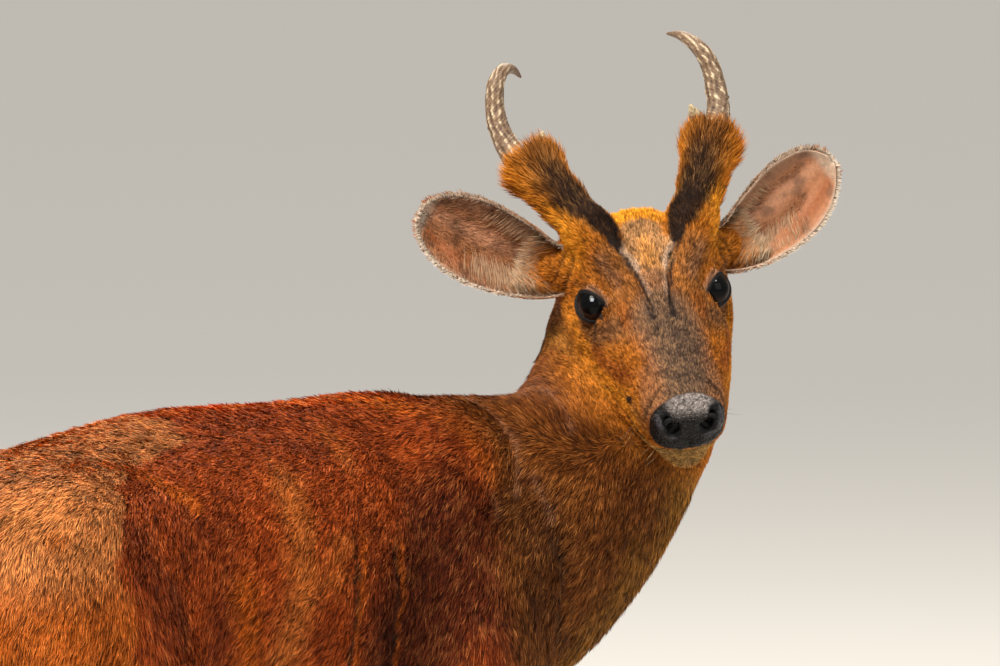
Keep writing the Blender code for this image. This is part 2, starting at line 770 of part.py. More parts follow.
def build_feet(nodes):
    made = {}
    for leg_name, shift in FOOT_SHIFT.items():
        stations = FORE_LEG if leg_name.startswith("fore") else HIND_LEG
        foot_x, foot_y = stations[-1][0] + shift, stations[-1][1]
        foot = leg_name.replace("_leg", "")
        claws = []
        for which, aside in (("inner", -1), ("outer", 1)):
            claws.append(hoof(f"hoof_{foot}_{which}", foot_x + 0.004, foot_y + aside * 0.0078, -aside))
            claws.append(dewclaw(f"dewclaw_{foot}_{which}", (foot_x - 0.030, foot_y + aside * 0.0098, 0.047)))
        bigger = grown(nodes[leg_name], "leg_grown", GAP)
        for claw in claws:
            if leg_name.endswith("right"):
                flipped(claw)
            for vert in claw.data.vertices:
                vert.co = bent(vert.co)
            made[claw.name] = cut(claw, bigger, keep_cutter=True)
        bpy.data.objects.remove(bigger)
    return made


def eyeball(name):
    return ball(name, EYE_AT, (EYE_RADIUS,) * 3, across=16, around=10)


def build_head_fittings(nodes):
    made = {}
    bigger_head = grown(nodes["head"], "head_grown", GAP)
    for side in ("left", "right"):
        bigger_pedicel = grown(nodes[f"pedicel_{side}"], "pedicel_grown", GAP)
        for name, builder, cutter in (
            ("eye", eyeball, None),
            ("ear", ear, bigger_head),
            ("antler_beam", antler_beam, bigger_pedicel),
            ("antler_tine", antler_tine, bigger_pedicel),
        ):
            obj = builder(f"{name}_{side}")
            if side == "right":
                flipped(obj)
            obj.data.transform(head_matrix())
            if cutter:
                cut(obj, cutter, keep_cutter=True)
            made[obj.name] = obj
        cut(made[f"antler_tine_{side}"], grown(made[f"antler_beam_{side}"], "beam_grown", GAP))
        bpy.data.objects.remove(bigger_pedicel)
    bpy.data.objects.remove(bigger_head)
    return made


def largest_body(obj):
    """Keeps only the biggest closed body of an object, under the same name."""
    name = obj.name
    pieces = sorted(islands(obj), key=lambda piece: len(piece.data.vertices))
    for piece in pieces[:-1]:
        bpy.data.objects.remove(piece)
    pieces[-1].name = name
    return pieces[-1]


def tidy_mesh(obj):
    """Triangles only, with points that lie within a hundredth of a millimetre made one."""
    bm = bmesh.new()
    bm.from_mesh(obj.data)
    bmesh.ops.remove_doubles(bm, verts=bm.verts, dist=0.00001)
    bmesh.ops.dissolve_degenerate(bm, edges=bm.edges, dist=0.00001)
    bmesh.ops.triangulate(bm, faces=bm.faces)
    bm.to_mesh(obj.data)
    bm.free()


def finish_materials():
    made = {}
    for name, (colour, roughness, _) in FINISHES.items():
        material = bpy.data.materials.new(name)
        material.use_nodes = True
        shader = material.node_tree.nodes["Principled BSDF"]
        shader.inputs["Base Color"].default_value = (*colour, 1)
        shader.inputs["Roughness"].default_value = roughness
        material.diffuse_color = (*colour, 1)
        made[name] = material
    return made


def dress(obj, materials):
    """Gives an object the first finish whose words its name starts with."""
    for name, (_, _, starts) in FINISHES.items():
        if obj.name.startswith(starts):
            obj.data.materials.clear()
            obj.data.materials.append(materials[name])
            break
    obj.data.shade_smooth()
    obj.data.set_sharp_from_angle(angle=math.radians(40))


def centre_on_floor(objects):
    """Moves everything so the origin is on the floor below the middle of the whole."""
    low = np.min([coordinates(obj).min(axis=0) for obj in objects], axis=0)
    high = np.max([coordinates(obj).max(axis=0) for obj in objects], axis=0)
    shift = Vector((-(low[0] + high[0]) / 2, -(low[1] + high[1]) / 2, -low[2]))
    animal = bpy.data.objects.new("muntjac", None)
    bpy.context.scene.collection.objects.link(animal)
    for obj in objects:
        obj.data.transform(Matrix.Translation(shift))
        obj.parent = animal
    return shift


def main():
    clear_scene()
    nodes = part_body(build_body_hide())
    nodes.update(part_head(build_head_hide()))
    nodes.update(build_head_fittings(nodes))
    nodes.update(build_feet(nodes))
    finished = [largest_body(obj) for obj in nodes.values()]
    materials = finish_materials()
    for obj in finished:
        tidy_mesh(obj)
        dress(obj, materials)
    return centre_on_floor(finished)


SHIFT = main()
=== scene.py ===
# %% [markdown]
# A life-size muntjac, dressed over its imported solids.
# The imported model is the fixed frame: it gives the places and the sizes of every part, in metres.
# This lesson puts one skin over its flesh, carves the face, grows a coat of mesh tufts along the
# animal's own lie of hair, and makes finer eyes, ears, antlers and hooves.

# %% Load the frame
import math

import bmesh
import bpy
import numpy as np
from mathutils import Matrix, Vector


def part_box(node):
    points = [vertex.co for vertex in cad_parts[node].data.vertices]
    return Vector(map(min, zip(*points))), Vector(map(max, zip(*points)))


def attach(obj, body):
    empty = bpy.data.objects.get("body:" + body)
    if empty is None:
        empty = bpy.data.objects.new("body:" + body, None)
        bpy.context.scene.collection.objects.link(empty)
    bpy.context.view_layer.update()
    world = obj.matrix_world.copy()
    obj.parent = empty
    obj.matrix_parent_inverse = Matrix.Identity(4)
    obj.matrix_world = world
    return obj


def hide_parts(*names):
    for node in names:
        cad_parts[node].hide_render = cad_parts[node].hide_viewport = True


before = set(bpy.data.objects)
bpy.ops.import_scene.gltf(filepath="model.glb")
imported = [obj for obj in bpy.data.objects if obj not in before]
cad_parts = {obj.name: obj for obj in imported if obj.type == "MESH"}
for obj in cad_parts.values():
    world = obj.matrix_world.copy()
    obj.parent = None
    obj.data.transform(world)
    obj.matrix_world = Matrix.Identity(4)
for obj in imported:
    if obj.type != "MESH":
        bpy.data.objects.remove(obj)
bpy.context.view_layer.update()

# %% [markdown]
# The head is turned back over the right shoulder, and the spine bends to the right, so a mark on the
# face or a stripe along the back is hard to place in world coordinates.
# It is easier to work in two frames of their own: the head's, with +X along the muzzle and +Z through
# the crown, and the straight body's, with +X along the spine. The eyes tell where the head is.

# %% The head's and the body's own frames
HEAD_TURN, HEAD_PITCH, HEAD_ROLL = (math.radians(angle) for angle in (-129.5, 37.5, 8))
HEAD_SIZE = 0.96
BETWEEN_EYES = Vector((0.003, 0, 0.003))
HEAD_IN_BODY = Vector((0.318, -0.118, 0.606))
BODY_BEND = 0.80
BEND_CENTRE = -0.06


def middle(node):
    low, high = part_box(node)
    return (low + high) / 2


turn = Matrix.Rotation(HEAD_TURN, 3, "Z") @ Matrix.Rotation(HEAD_PITCH, 3, "Y")
turn = turn @ Matrix.Rotation(HEAD_ROLL, 3, "X")
head_at = (middle("eye_left") + middle("eye_right")) / 2 - turn @ (BETWEEN_EYES * HEAD_SIZE)
body_at = np.array(head_at - HEAD_IN_BODY)
HEAD_AXES = np.array(turn)


def to_head(co):
    return (co - np.array(head_at)) @ HEAD_AXES / HEAD_SIZE


def from_head(co):
    return np.asarray(co, float) @ HEAD_AXES.T * HEAD_SIZE + np.array(head_at)


def to_body(co):
    """World points along, across and above the straight spine."""
    ahead = co[:, 0] - body_at[0] - BEND_CENTRE
    aside = co[:, 1] - body_at[1] + 1 / BODY_BEND
    return np.stack([
        BEND_CENTRE + np.arctan2(ahead, aside) / BODY_BEND,
        np.hypot(ahead, aside) - 1 / BODY_BEND,
        co[:, 2],
    ], axis=1)


def from_body(co):
    co = np.asarray(co, float)
    along = BODY_BEND * (co[:, 0] - BEND_CENTRE)
    reach = 1 / BODY_BEND + co[:, 1]
    return np.stack([
        BEND_CENTRE + np.sin(along) * reach + body_at[0],
        np.cos(along) * reach - 1 / BODY_BEND + body_at[1],
        co[:, 2],
    ], axis=1)


print("the head's middle is at", [round(v, 4) for v in head_at])

# %% [markdown]
# The photograph was taken with a long lens from the animal's right, a little above it. A camera far
# away with a narrow view gives the same flat perspective. One place that both pictures show, the
# middle of the head, and one scale, pixels for each metre, are enough to aim it.

# %% Camera
CAMERA_AZIMUTH, CAMERA_ELEVATION = math.radians(-54), math.radians(7)
CAMERA_DISTANCE = 8
PIXELS_PER_METRE = 1450
FRAME_WIDTH, FRAME_HEIGHT = 1000, 666
HEAD_PIXEL = (652, 297)
SENSOR_MM = 36

camera_back = Vector((
    math.sin(CAMERA_AZIMUTH) * math.cos(CAMERA_ELEVATION),
    -math.cos(CAMERA_AZIMUTH) * math.cos(CAMERA_ELEVATION),
    math.sin(CAMERA_ELEVATION),
))
camera_right = Vector((math.cos(CAMERA_AZIMUTH), math.sin(CAMERA_AZIMUTH), 0))
camera_up = camera_back.cross(camera_right)
aim = (
    head_at
    - camera_right * ((HEAD_PIXEL[0] - FRAME_WIDTH / 2) / PIXELS_PER_METRE)
    + camera_up * ((HEAD_PIXEL[1] - FRAME_HEIGHT / 2) / PIXELS_PER_METRE)
)
camera = bpy.data.objects.new("camera", bpy.data.cameras.new("camera"))
bpy.context.scene.collection.objects.link(camera)
camera.location = aim + camera_back * CAMERA_DISTANCE
camera.rotation_euler = camera_back.to_track_quat("Z", "Y").to_euler()
camera.data.sensor_width = SENSOR_MM
camera.data.lens = PIXELS_PER_METRE * CAMERA_DISTANCE * SENSOR_MM / FRAME_WIDTH
camera.data.clip_end = 100
bpy.context.scene.camera = camera
print("lens", round(camera.data.lens, 1), "mm, camera", round(camera.location.z, 2), "m above the floor")

# %% [markdown]
# Studio light for fur wants one large soft key, high and a little to the side, so that each lock
# throws a small shadow, a weaker fill from the other side, and a light from behind that draws a thin
# bright edge of hair. Two small lamps shine on nothing but the eyes, through light linking: they are
# the windows that a wet eye mirrors. They are set by where the photo shows the two bright spots.

# %% Floor and lights


def paint(red, green, blue):
    """A colour as a painter names it, 0 to 255, as the linear values that Blender works in."""
    values = np.array([red, green, blue], float) / 255
    return np.where(values <= 0.04045, values / 12.92, ((values + 0.055) / 1.055) ** 2.4)


def linked(name, data):
    made = bpy.data.objects.new(name, data)
    bpy.context.scene.collection.objects.link(made)
    return made


def area_light(name, azimuth, elevation, distance, size, watts, colour):
    """A soft light that looks at the head from an angle around it, counted as the camera's is."""
    angle, rise = math.radians(azimuth), math.radians(elevation)
    way = Vector((math.sin(angle) * math.cos(rise), -math.cos(angle) * math.cos(rise), math.sin(rise)))
    light = linked(name, bpy.data.lights.new(name, "AREA"))
    light.data.size = size
    light.data.energy = watts
    light.data.color = colour
    light.location = head_at + way * distance
    light.rotation_euler = way.to_track_quat("Z", "Y").to_euler()
    return light


FLOOR_SIZE = 80
bm = bmesh.new()
bmesh.ops.create_grid(bm, x_segments=1, y_segments=1, size=FLOOR_SIZE / 2)
floor_mesh = bpy.data.meshes.new("floor")
bm.to_mesh(floor_mesh)
bm.free()
floor = linked("floor", floor_mesh)
floor_paint = bpy.data.materials.new("pale floor")
floor_paint.use_nodes = True
floor_shader = floor_paint.node_tree.nodes["Principled BSDF"]
floor_shader.inputs["Base Color"].default_value = (0.62, 0.61, 0.59, 1)
floor_shader.inputs["Roughness"].default_value = 0.9
floor.data.materials.append(floor_paint)

world = bpy.data.worlds.new("studio")
bpy.context.scene.world = world
world.use_nodes = True
backdrop = world.node_tree.nodes["Background"]
backdrop.inputs["Color"].default_value = (1.0, 0.98, 0.95, 1)
backdrop.inputs["Strength"].default_value = 0.42
sun = linked("high_sun", bpy.data.lights.new("high_sun", "SUN"))
sun.data.energy = 1.5
sun.data.angle = math.radians(20)
sun.data.color = (1.0, 0.94, 0.84)
sun_way = camera_back * 0.55 - camera_right * 0.42 + Vector((0, 0, 1.0))
sun.rotation_euler = sun_way.to_track_quat("Z", "Y").to_euler()
area_light("key", -86, 50, 2.4, 0.9, 58, (1.0, 0.94, 0.86))
area_light("fill", -10, 25, 3.0, 2.0, 25, (1.0, 0.96, 0.92))
wet_eyes = bpy.data.collections.new("wet eyes")
for name, azimuth, elevation in (("catchlight_near", -74, 39), ("catchlight_far", -13, 66)):
    catchlight = area_light(name, azimuth, elevation, 1.6, 0.55, 80, (0.94, 0.97, 1.0))
    catchlight.data.use_shadow = False
    catchlight.light_linking.receiver_collection = wet_eyes
area_light("rim", 120, 45, 2.6, 1.4, 60, (1.0, 0.92, 0.80))
bpy.context.scene.view_settings.view_transform = "Standard"

# %% [markdown]
# Every later step needs a few small tools that read a mesh into arrays and put it back, and one that
# relaxes a surface: each point moves towards the mean of its neighbours, then a little back, which
# takes the facets out and keeps the volume.

# %% Mesh tools


def mesh_object(name, bm):
    mesh = bpy.data.meshes.new(name)
    bm.to_mesh(mesh)
    bm.free()
    return linked(name, mesh)


def values_of(data, key, width, kind=np.float32):
    found = np.empty(len(data) * width, kind)
    data.foreach_get(key, found)
    return found.reshape(-1, width) if width > 1 else found


def points_of(obj):
    return values_of(obj.data.vertices, "co", 3).astype(float)


def normals_of(obj):
    return values_of(obj.data.vertices, "normal", 3).astype(float)


def put_points(obj, co):
    obj.data.vertices.foreach_set("co", np.asarray(co, np.float32).ravel())
    obj.data.update()


def unit(vectors):
    return vectors / np.maximum(np.linalg.norm(vectors, axis=-1, keepdims=True), 1e-9)


def smoothstep(low, high, value):
    t = np.clip((value - low) / (high - low), 0, 1)
    return t * t * (3 - 2 * t)


class Neighbours:
    """Averages values over a mesh's edges."""

    def __init__(self, obj):
        self.a, self.b = values_of(obj.data.edges, "vertices", 2, np.int32).T
        self.size = len(obj.data.vertices)
        self.count = np.maximum(np.bincount(np.concatenate([self.a, self.b]), minlength=self.size), 1)

    def mean(self, values):
        columns = values.reshape(self.size, -1)
        out = np.empty_like(columns)
        for i in range(columns.shape[1]):
            out[:, i] = np.bincount(self.a, columns[self.b, i], self.size)
            out[:, i] += np.bincount(self.b, columns[self.a, i], self.size)
        return (out / self.count[:, None]).reshape(values.shape)

    def soften(self, values, rounds):
        for _ in range(rounds):
            values = 0.5 * values + 0.5 * self.mean(values)
        return values

    def relax(self, co, weights, rounds):
        for step in range(rounds * 2):
            pull = 0.60 if step % 2 == 0 else -0.32
            co = co + pull * weights[:, None] * (self.mean(co) - co)
        return co


def evaluated(obj):
    """Applies an object's modifiers to its mesh."""
    made = bpy.data.meshes.new_from_object(obj.evaluated_get(bpy.context.evaluated_depsgraph_get()))
    obj.modifiers.clear()
    obj.data = made
    return obj


def remeshed(obj, voxel):
    remesh = obj.modifiers.new("Remesh", "REMESH")
    remesh.mode = "VOXEL"
    remesh.voxel_size = voxel
    return evaluated(obj)


def distance_to_line(co, line):
    """Each point's distance to a polyline, and how far along it that is, from 0 to 1."""
    line = np.asarray(line, float)
    if len(line) == 1:
        return np.linalg.norm(co - line[0], axis=1), np.zeros(len(co))
    best, along = np.full(len(co), 1e9), np.zeros(len(co))
    for i, (a, b) in enumerate(zip(line, line[1:])):
        way = b - a
        t = np.clip((co - a) @ way / max(way @ way, 1e-12), 0, 1)
        gone = np.linalg.norm(co - a - t[:, None] * way, axis=1)
        nearer = gone < best
        best[nearer] = gone[nearer]
        along[nearer] = (i + t[nearer]) / (len(line) - 1)
    return best, along


def settled(line, cloud):
    """A line with each of its points moved to the nearest of the cloud's."""
    points = np.asarray(line, float)
    return cloud[[np.argmin(np.sum((cloud - point) ** 2, axis=1)) for point in points]]


def folded(place):
    """Places folded over the middle plane onto the left side."""
    return place * (1, 0, 1) + np.abs(place) * (0, 1, 0)


def between_points(at, steps, line):
    """Places along a line, whose points lie at the given steps."""
    return np.stack([np.interp(at, steps, line[:, axis]) for axis in range(3)], axis=1)


def divided(line, step):
    """A line with points put in, so that none of its spans is longer than a step."""
    line = np.asarray(line, float)
    made = [line[0]]
    for a, b in zip(line, line[1:]):
        spans = max(1, math.ceil(float(np.linalg.norm(b - a)) / step))
        made += [a + (b - a) * (i + 1) / spans for i in range(spans)]
    return np.array(made)


# %% [markdown]
# A museum mount has one hide over the whole animal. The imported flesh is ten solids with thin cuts
# between them, so their copies are grown by a hair's breadth until they overlap, and a voxel remesh
# turns them into one closed surface with no seam. A ball fills each socket, so that the lids can be
# carved afresh. A coarser, well relaxed copy of the body draws the facets out of trunk and legs, and
# a Decimate modifier that spares the head brings the whole under the limit for one piece.

# %% One skin over the flesh
FLESH = (
    "torso", "neck", "head", "tail", "pedicel_left", "pedicel_right",
    "fore_leg_left", "fore_leg_right", "hind_leg_left", "hind_leg_right",
)
SEAM_OVERLAP = 0.00025
SKIN_VOXEL = 0.0018
PROXY_VOXEL = 0.0040
SKIN_TRIANGLES = 122000
EYE_RADIUS = 0.0135
LID = 0.0015
EYE_AT = np.array([0.003, 0.0425, 0.003])
HEAD_SEAM_AT = np.array([0.340, -0.070, 0.5375])
HEAD_SEAM_WAY = np.array([0.29, -0.57, 0.77]) / np.linalg.norm([0.29, -0.57, 0.77])
SIDES = (1, -1)
LID_BALL = (EYE_RADIUS + LID) * HEAD_SIZE


def copied_solids(nodes, grown):
    """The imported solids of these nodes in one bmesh, each pushed outwards by grown."""
    whole = bmesh.new()
    for node in nodes:
        part = bmesh.new()
        part.from_mesh(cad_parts[node].data)
        bmesh.ops.remove_doubles(part, verts=part.verts, dist=0.00001)
        part.normal_update()
        for vert in part.verts:
            vert.co += vert.normal * grown
        loose = bpy.data.meshes.new("loose")
        part.to_mesh(loose)
        part.free()
        whole.from_mesh(loose)
        bpy.data.meshes.remove(loose)
    return whole


def head_amount(co):
    """1 on the head, 0 on the body, and a soft step between them at the top of the neck."""
    ahead = (co - body_at - HEAD_SEAM_AT) @ HEAD_SEAM_WAY
    return smoothstep(-0.020, 0.008, ahead)


whole = copied_solids(FLESH, SEAM_OVERLAP)
for side in SIDES:
    place = Matrix.Translation(from_head(EYE_AT * (1, side, 1)))
    bmesh.ops.create_uvsphere(whole, u_segments=32, v_segments=20, radius=LID_BALL, matrix=place)
skin = mesh_object("skin", whole)
proxy = linked("proxy", skin.data.copy())
remeshed(proxy, PROXY_VOXEL)
co = points_of(proxy)
legs_spared = np.clip((co[:, 2] - 0.03) / 0.30, 0.25, 1)
put_points(proxy, Neighbours(proxy).relax(co, legs_spared, 26))

remeshed(skin, SKIN_VOXEL)
co = points_of(skin)
on_body = skin.vertex_groups.new(name="body")
face_share = head_amount(co)
for level in np.unique(np.round(face_share, 1)):
    chosen = np.flatnonzero(np.round(face_share, 1) == level)
    on_body.add(chosen.tolist(), float(1 - level), "REPLACE")
wrap = skin.modifiers.new("Smooth body", "SHRINKWRAP")
wrap.target = proxy
wrap.wrap_method = "NEAREST_SURFACEPOINT"
wrap.vertex_group = "body"
thin = skin.modifiers.new("Thin out", "DECIMATE")
thin.ratio = SKIN_TRIANGLES / (2 * len(skin.data.polygons))
thin.vertex_group = "body"
thin.use_collapse_triangulate = True
evaluated(skin)
bpy.data.objects.remove(proxy)
print("one skin of", len(skin.data.polygons), "triangles")

# %% [markdown]
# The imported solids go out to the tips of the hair, so the bare skin lies deeper, by the depth of the
# coat: millimetres on the trunk, next to nothing on the nose. Regions are told apart by where a point
# lies in the two frames. The values are averaged over the mesh, so no step shows between regions.

# %% Regions and the coat's depth
PEDICEL_ROOT = np.array([-0.028, 0.0325, 0.031])
PEDICEL_WAY = np.array([-0.915, 0.375, 0.060]) / np.linalg.norm([-0.915, 0.375, 0.060])
PEDICEL_LENGTH = 0.092


def regions(co):
    """How much each point belongs to the head, pedicels, neck, legs and tail, 0 to 1."""
    head, body = to_head(co), to_body(co)
    found = {"head": head_amount(co)}
    mirrored = folded(head) - PEDICEL_ROOT
    share = mirrored @ PEDICEL_WAY / PEDICEL_LENGTH
    beside = np.linalg.norm(mirrored - np.outer(share * PEDICEL_LENGTH, PEDICEL_WAY), axis=1)
    close_to_bone = smoothstep(0.036, 0.030, beside) * (found["head"] > 0.5)
    found["pedicel"] = smoothstep(0.15, 0.35, share) * close_to_bone
    neck_way = np.array([0.80, -0.16, 0.55]) / np.linalg.norm([0.80, -0.16, 0.55])
    neck_at = from_body([(0.232, 0, 0.450)])[0]
    found["neck"] = smoothstep(-0.03, 0.02, (co - neck_at) @ neck_way) * (1 - found["head"])
    found["leg"] = smoothstep(0.31, 0.26, body[:, 2])
    found["tail"] = smoothstep(-0.352, -0.366, body[:, 0]) * (np.abs(body[:, 1]) < 0.03)
    found["share"] = share
    found["muzzle"] = smoothstep(0.040, 0.075, head[:, 0]) * found["head"]
    return found


def pad_amount(head):
    """1 on the naked nose pad, which ends in a slanting line across the muzzle."""
    edge = np.interp(
        head[:, 2],
        [-0.0240, -0.0195, -0.0130, 0.0000, 0.0060, 0.0140, 0.0200, 0.0260],
        [0.1290, 0.1245, 0.1215, 0.1190, 0.1198, 0.1182, 0.1155, 0.1125],
    )
    return smoothstep(-0.0012, 0.0012, head[:, 0] - edge) * smoothstep(-0.0245, -0.0225, head[:, 2])


BODY_DEPTH, NECK_DEPTH, HEAD_DEPTH, MUZZLE_DEPTH = 0.0050, 0.0046, 0.0019, 0.0010
PEDICEL_DEPTH, LEG_DEPTH, TAIL_DEPTH, FOOT_DEPTH = 0.0050, 0.0022, 0.0050, 0.0004


def blended(parts, base, **amounts):
    """A value for each point: the base, then each region's own value laid over it."""
    value = np.full(len(parts["head"]), float(base))
    for name, amount in amounts.items():
        value += parts[name] * (amount - value)
    return value


around = Neighbours(skin)
co = points_of(skin)
parts = regions(co)
co = around.relax(co, 0.9 - 0.55 * parts["head"] * (1 - parts["pedicel"]), 5)
depth = blended(
    parts, BODY_DEPTH, neck=NECK_DEPTH, head=HEAD_DEPTH, muzzle=MUZZLE_DEPTH,
    pedicel=PEDICEL_DEPTH, leg=LEG_DEPTH, tail=TAIL_DEPTH,
)
foot = smoothstep(0.060, 0.020, co[:, 2])
depth += foot * (FOOT_DEPTH - depth)
depth *= 1 - 0.85 * pad_amount(to_head(co))
depth = around.soften(depth, 6)
put_points(skin, co)
put_points(skin, co - normals_of(skin) * depth[:, None])
shallow, deep = (round(value * 1000, 1) for value in (depth.min(), depth.max()))
print("the skin lies", shallow, "to", deep, "mm inside the solids")

# %% [markdown]
# The face gets its folds now. Around the eyes and on the muzzle the mesh is split finer, because a
# lid's edge is only a millimetre thick. Each lid is worked out on a ball around the eye: inside the
# almond opening the skin dives below the eyeball, at its edge it rolls up to the lid's thickness, and
# further out it runs over into the face. Grooves, slits and wrinkles are pushed in along short lines.

# %% Carve the face
EYE_LOOKS = np.array([0.63, 0.52, 0.54]) / np.linalg.norm([0.63, 0.52, 0.54])
EYE_ALONG = np.cross([0.15, -0.15, 1], EYE_LOOKS)
EYE_ALONG /= np.linalg.norm(EYE_ALONG)
EYE_RISE = np.cross(EYE_LOOKS, EYE_ALONG)
SLIT_HALF, SLIT_UP, SLIT_DOWN = 0.0127, 0.0082, 0.0092
LID_ARCH = 0.62
LID_EDGE = 0.0012


def from_eye(points):
    """Places along the slit, up from it and out of the eye, as places in the left half of the head."""
    return EYE_AT + np.array(points) @ np.array([EYE_ALONG, EYE_RISE, EYE_LOOKS])


def beyond_lid(place):
    """Distance from the edge of the opening, less than nothing inside it, in the left eye's frame."""
    out = place - EYE_AT
    reach = np.linalg.norm(out, axis=1)
    way = out / reach[:, None]
    ahead = way @ EYE_LOOKS
    outwards = way @ EYE_ALONG * EYE_RADIUS
    along = outwards / SLIT_HALF
    rise = way @ EYE_RISE * EYE_RADIUS
    arch = np.clip(1 - along**2, 0, 1) ** LID_ARCH
    above = (rise - arch * SLIT_UP) * 0.93
    below = (-rise - arch * SLIT_DOWN) * 0.93
    corner = (np.abs(along) - 1) * SLIT_HALF
    edge = np.maximum(np.maximum(above, below), corner)
    return edge, reach, ahead, outwards


def finer(obj, chosen):
    bm = bmesh.new()
    bm.from_mesh(obj.data)
    bm.faces.ensure_lookup_table()
    edges = {edge for i in np.flatnonzero(chosen) for edge in bm.faces[i].edges}
    bmesh.ops.subdivide_edges(bm, edges=list(edges), cuts=1, use_grid_fill=True)
    bmesh.ops.triangulate(bm, faces=[face for face in bm.faces if len(face.verts) > 3])
    bm.to_mesh(obj.data)
    bm.free()


def mirrored_head(obj):
    """Face centres in the head's frame, folded onto the left side."""
    return folded(to_head(values_of(obj.data.polygons, "center", 3).astype(float)))


MIDLINE = -0.0025
FOLD_STEP = 0.004
WART = (0.0906, -0.0344, -0.0074)
WART_HEIGHT, WART_RADIUS = 0.0028, 0.0025
GLAND = [
    (-0.0170, 0.0240, 0.0440), (-0.0040, 0.0166, 0.0385), (0.0120, 0.0116, 0.0355),
    (0.0280, 0.0098, 0.0330), (0.0480, 0.0075, 0.0292),
]
TEAR_SLIT = from_eye([
    (-0.0125, 0.0010, 0.0080), (-0.0165, -0.0010, 0.0075),
    (-0.0205, -0.0050, 0.0070), (-0.0235, -0.0095, 0.0060),
])
MOUTH = [
    (0.133, 0, -0.0275), (0.127, 0.017, -0.0275), (0.110, 0.0300, -0.0270),
    (0.086, 0.0360, -0.0250), (0.062, 0.0410, -0.0225),
]
NOSTRIL = [
    (0.1275, 0.0180, 0.0095), (0.1305, 0.0165, 0.0045), (0.1318, 0.0125, -0.0015), (0.1325, 0.0095, -0.0050),
]
NOSTRIL_RIM = [
    (0.1265, 0.0225, 0.0085), (0.1290, 0.0220, 0.0030), (0.1305, 0.0180, -0.0050), (0.1320, 0.0125, -0.0090),
]
PHILTRUM = [(0.1340, 0, -0.0120), (0.1335, 0, -0.0260)]
UPPER_LID_FOLD = from_eye([
    (-0.0060, 0.0100, 0.0100), (-0.0010, 0.0117, 0.0090), (0.0053, 0.0123, 0.0090),
    (0.0117, 0.0108, 0.0070), (0.0165, 0.0060, 0.0030),
])
SECOND_LID_FOLD = from_eye([(0.0000, 0.0160, 0.0090), (0.0070, 0.0165, 0.0080), (0.0140, 0.0145, 0.0050)])
LOWER_LID_FOLD = from_eye([
    (-0.0120, -0.0100, 0.0090), (-0.0040, -0.0135, 0.0090),
    (0.0070, -0.0135, 0.0070), (0.0140, -0.0080, 0.0030),
])
UPPER_LID = from_eye([(-0.0080, 0.0078, 0.0100), (0.0000, 0.0100, 0.0100), (0.0080, 0.0092, 0.0090)])
OUTER_CORNER = from_eye([(0.0120, 0.0020, 0.0080), (0.0175, 0.0010, 0.0060)])
HEAD_FOLDS = (
    # a line, how deep it is pushed in, and its half width
    (GLAND, 0.0026, 0.0012),
    (TEAR_SLIT, 0.0026, 0.0013),
    (MOUTH, 0.0028, 0.0012),
    (NOSTRIL, 0.0070, 0.0026),
    (NOSTRIL_RIM, -0.0012, 0.0022),
    (PHILTRUM, 0.0008, 0.0009),
    (UPPER_LID_FOLD, 0.0014, 0.0010),
    (SECOND_LID_FOLD, 0.0007, 0.0009),
    (LOWER_LID_FOLD, 0.0009, 0.0011),
    ([(-0.030, 0.046, 0.022), (-0.022, 0.054, 0.006), (-0.026, 0.058, -0.012)], 0.0016, 0.0016),
    ([(-0.037, 0.050, 0.020), (-0.031, 0.059, 0.004), (-0.034, 0.062, -0.014)], 0.0016, 0.0016),
    ([(-0.030, 0.058, -0.020), (-0.040, 0.058, -0.038), (-0.044, 0.054, -0.052)], 0.0014, 0.0022),
)
CREASES = [
    [(0.023, -0.088, 0.474), (0.015, -0.095, 0.430), (0.012, -0.096, 0.392)],
    [(0.069, -0.085, 0.464), (0.068, -0.090, 0.420), (0.065, -0.088, 0.379)],
]
NECK_FOLD = [(0.236, -0.082, 0.452), (0.249, -0.081, 0.428), (0.256, -0.083, 0.372)]
NECK_WRINKLES = [
    [(0.202, -0.036, 0.545), (0.214, -0.062, 0.518), (0.205, -0.078, 0.487)],
    [(0.161, -0.072, 0.512), (0.165, -0.079, 0.484)],
    [(0.172, -0.073, 0.510), (0.184, -0.080, 0.472)],
    [(0.262, -0.040, 0.551), (0.259, -0.075, 0.520)],
    [(0.222, -0.080, 0.496), (0.232, -0.083, 0.470)],
]
BODY_FOLDS = (
    *((line, 0.0030, 0.0042) for line in CREASES),
    (NECK_FOLD, 0.0050, 0.0070),
    *((line, 0.0026, 0.0042) for line in NECK_WRINKLES),
)
near_eye = np.linalg.norm(mirrored_head(skin) - EYE_AT, axis=1)
finer(skin, near_eye < 0.0215)
centres = mirrored_head(skin)
edge, reach, ahead, outwards = beyond_lid(centres)
at_lid = (np.abs(edge) < 0.0022) & (ahead > 0.2) & (reach < 0.022)
at_nose = (centres[:, 0] > 0.108) & (centres[:, 2] > -0.034)
centres = to_body(values_of(skin.data.polygons, "center", 3).astype(float))
centres[:, 1] = -np.abs(centres[:, 1])
at_fold = np.zeros(len(centres), bool)
for line, depth_in, width in BODY_FOLDS:
    at_fold |= distance_to_line(centres, line)[0] < width * 2
finer(skin, at_lid | at_nose | at_fold)


def pushed_in(co, normal, line, depth, width, fade=6):
    gone, along = distance_to_line(co, line)
    ends = 1 if len(line) == 1 else np.minimum(1, fade * np.minimum(along, 1 - along) + 0.25)
    return co - normal * (depth * ends * np.exp(-((gone / width) ** 2)))[:, None]


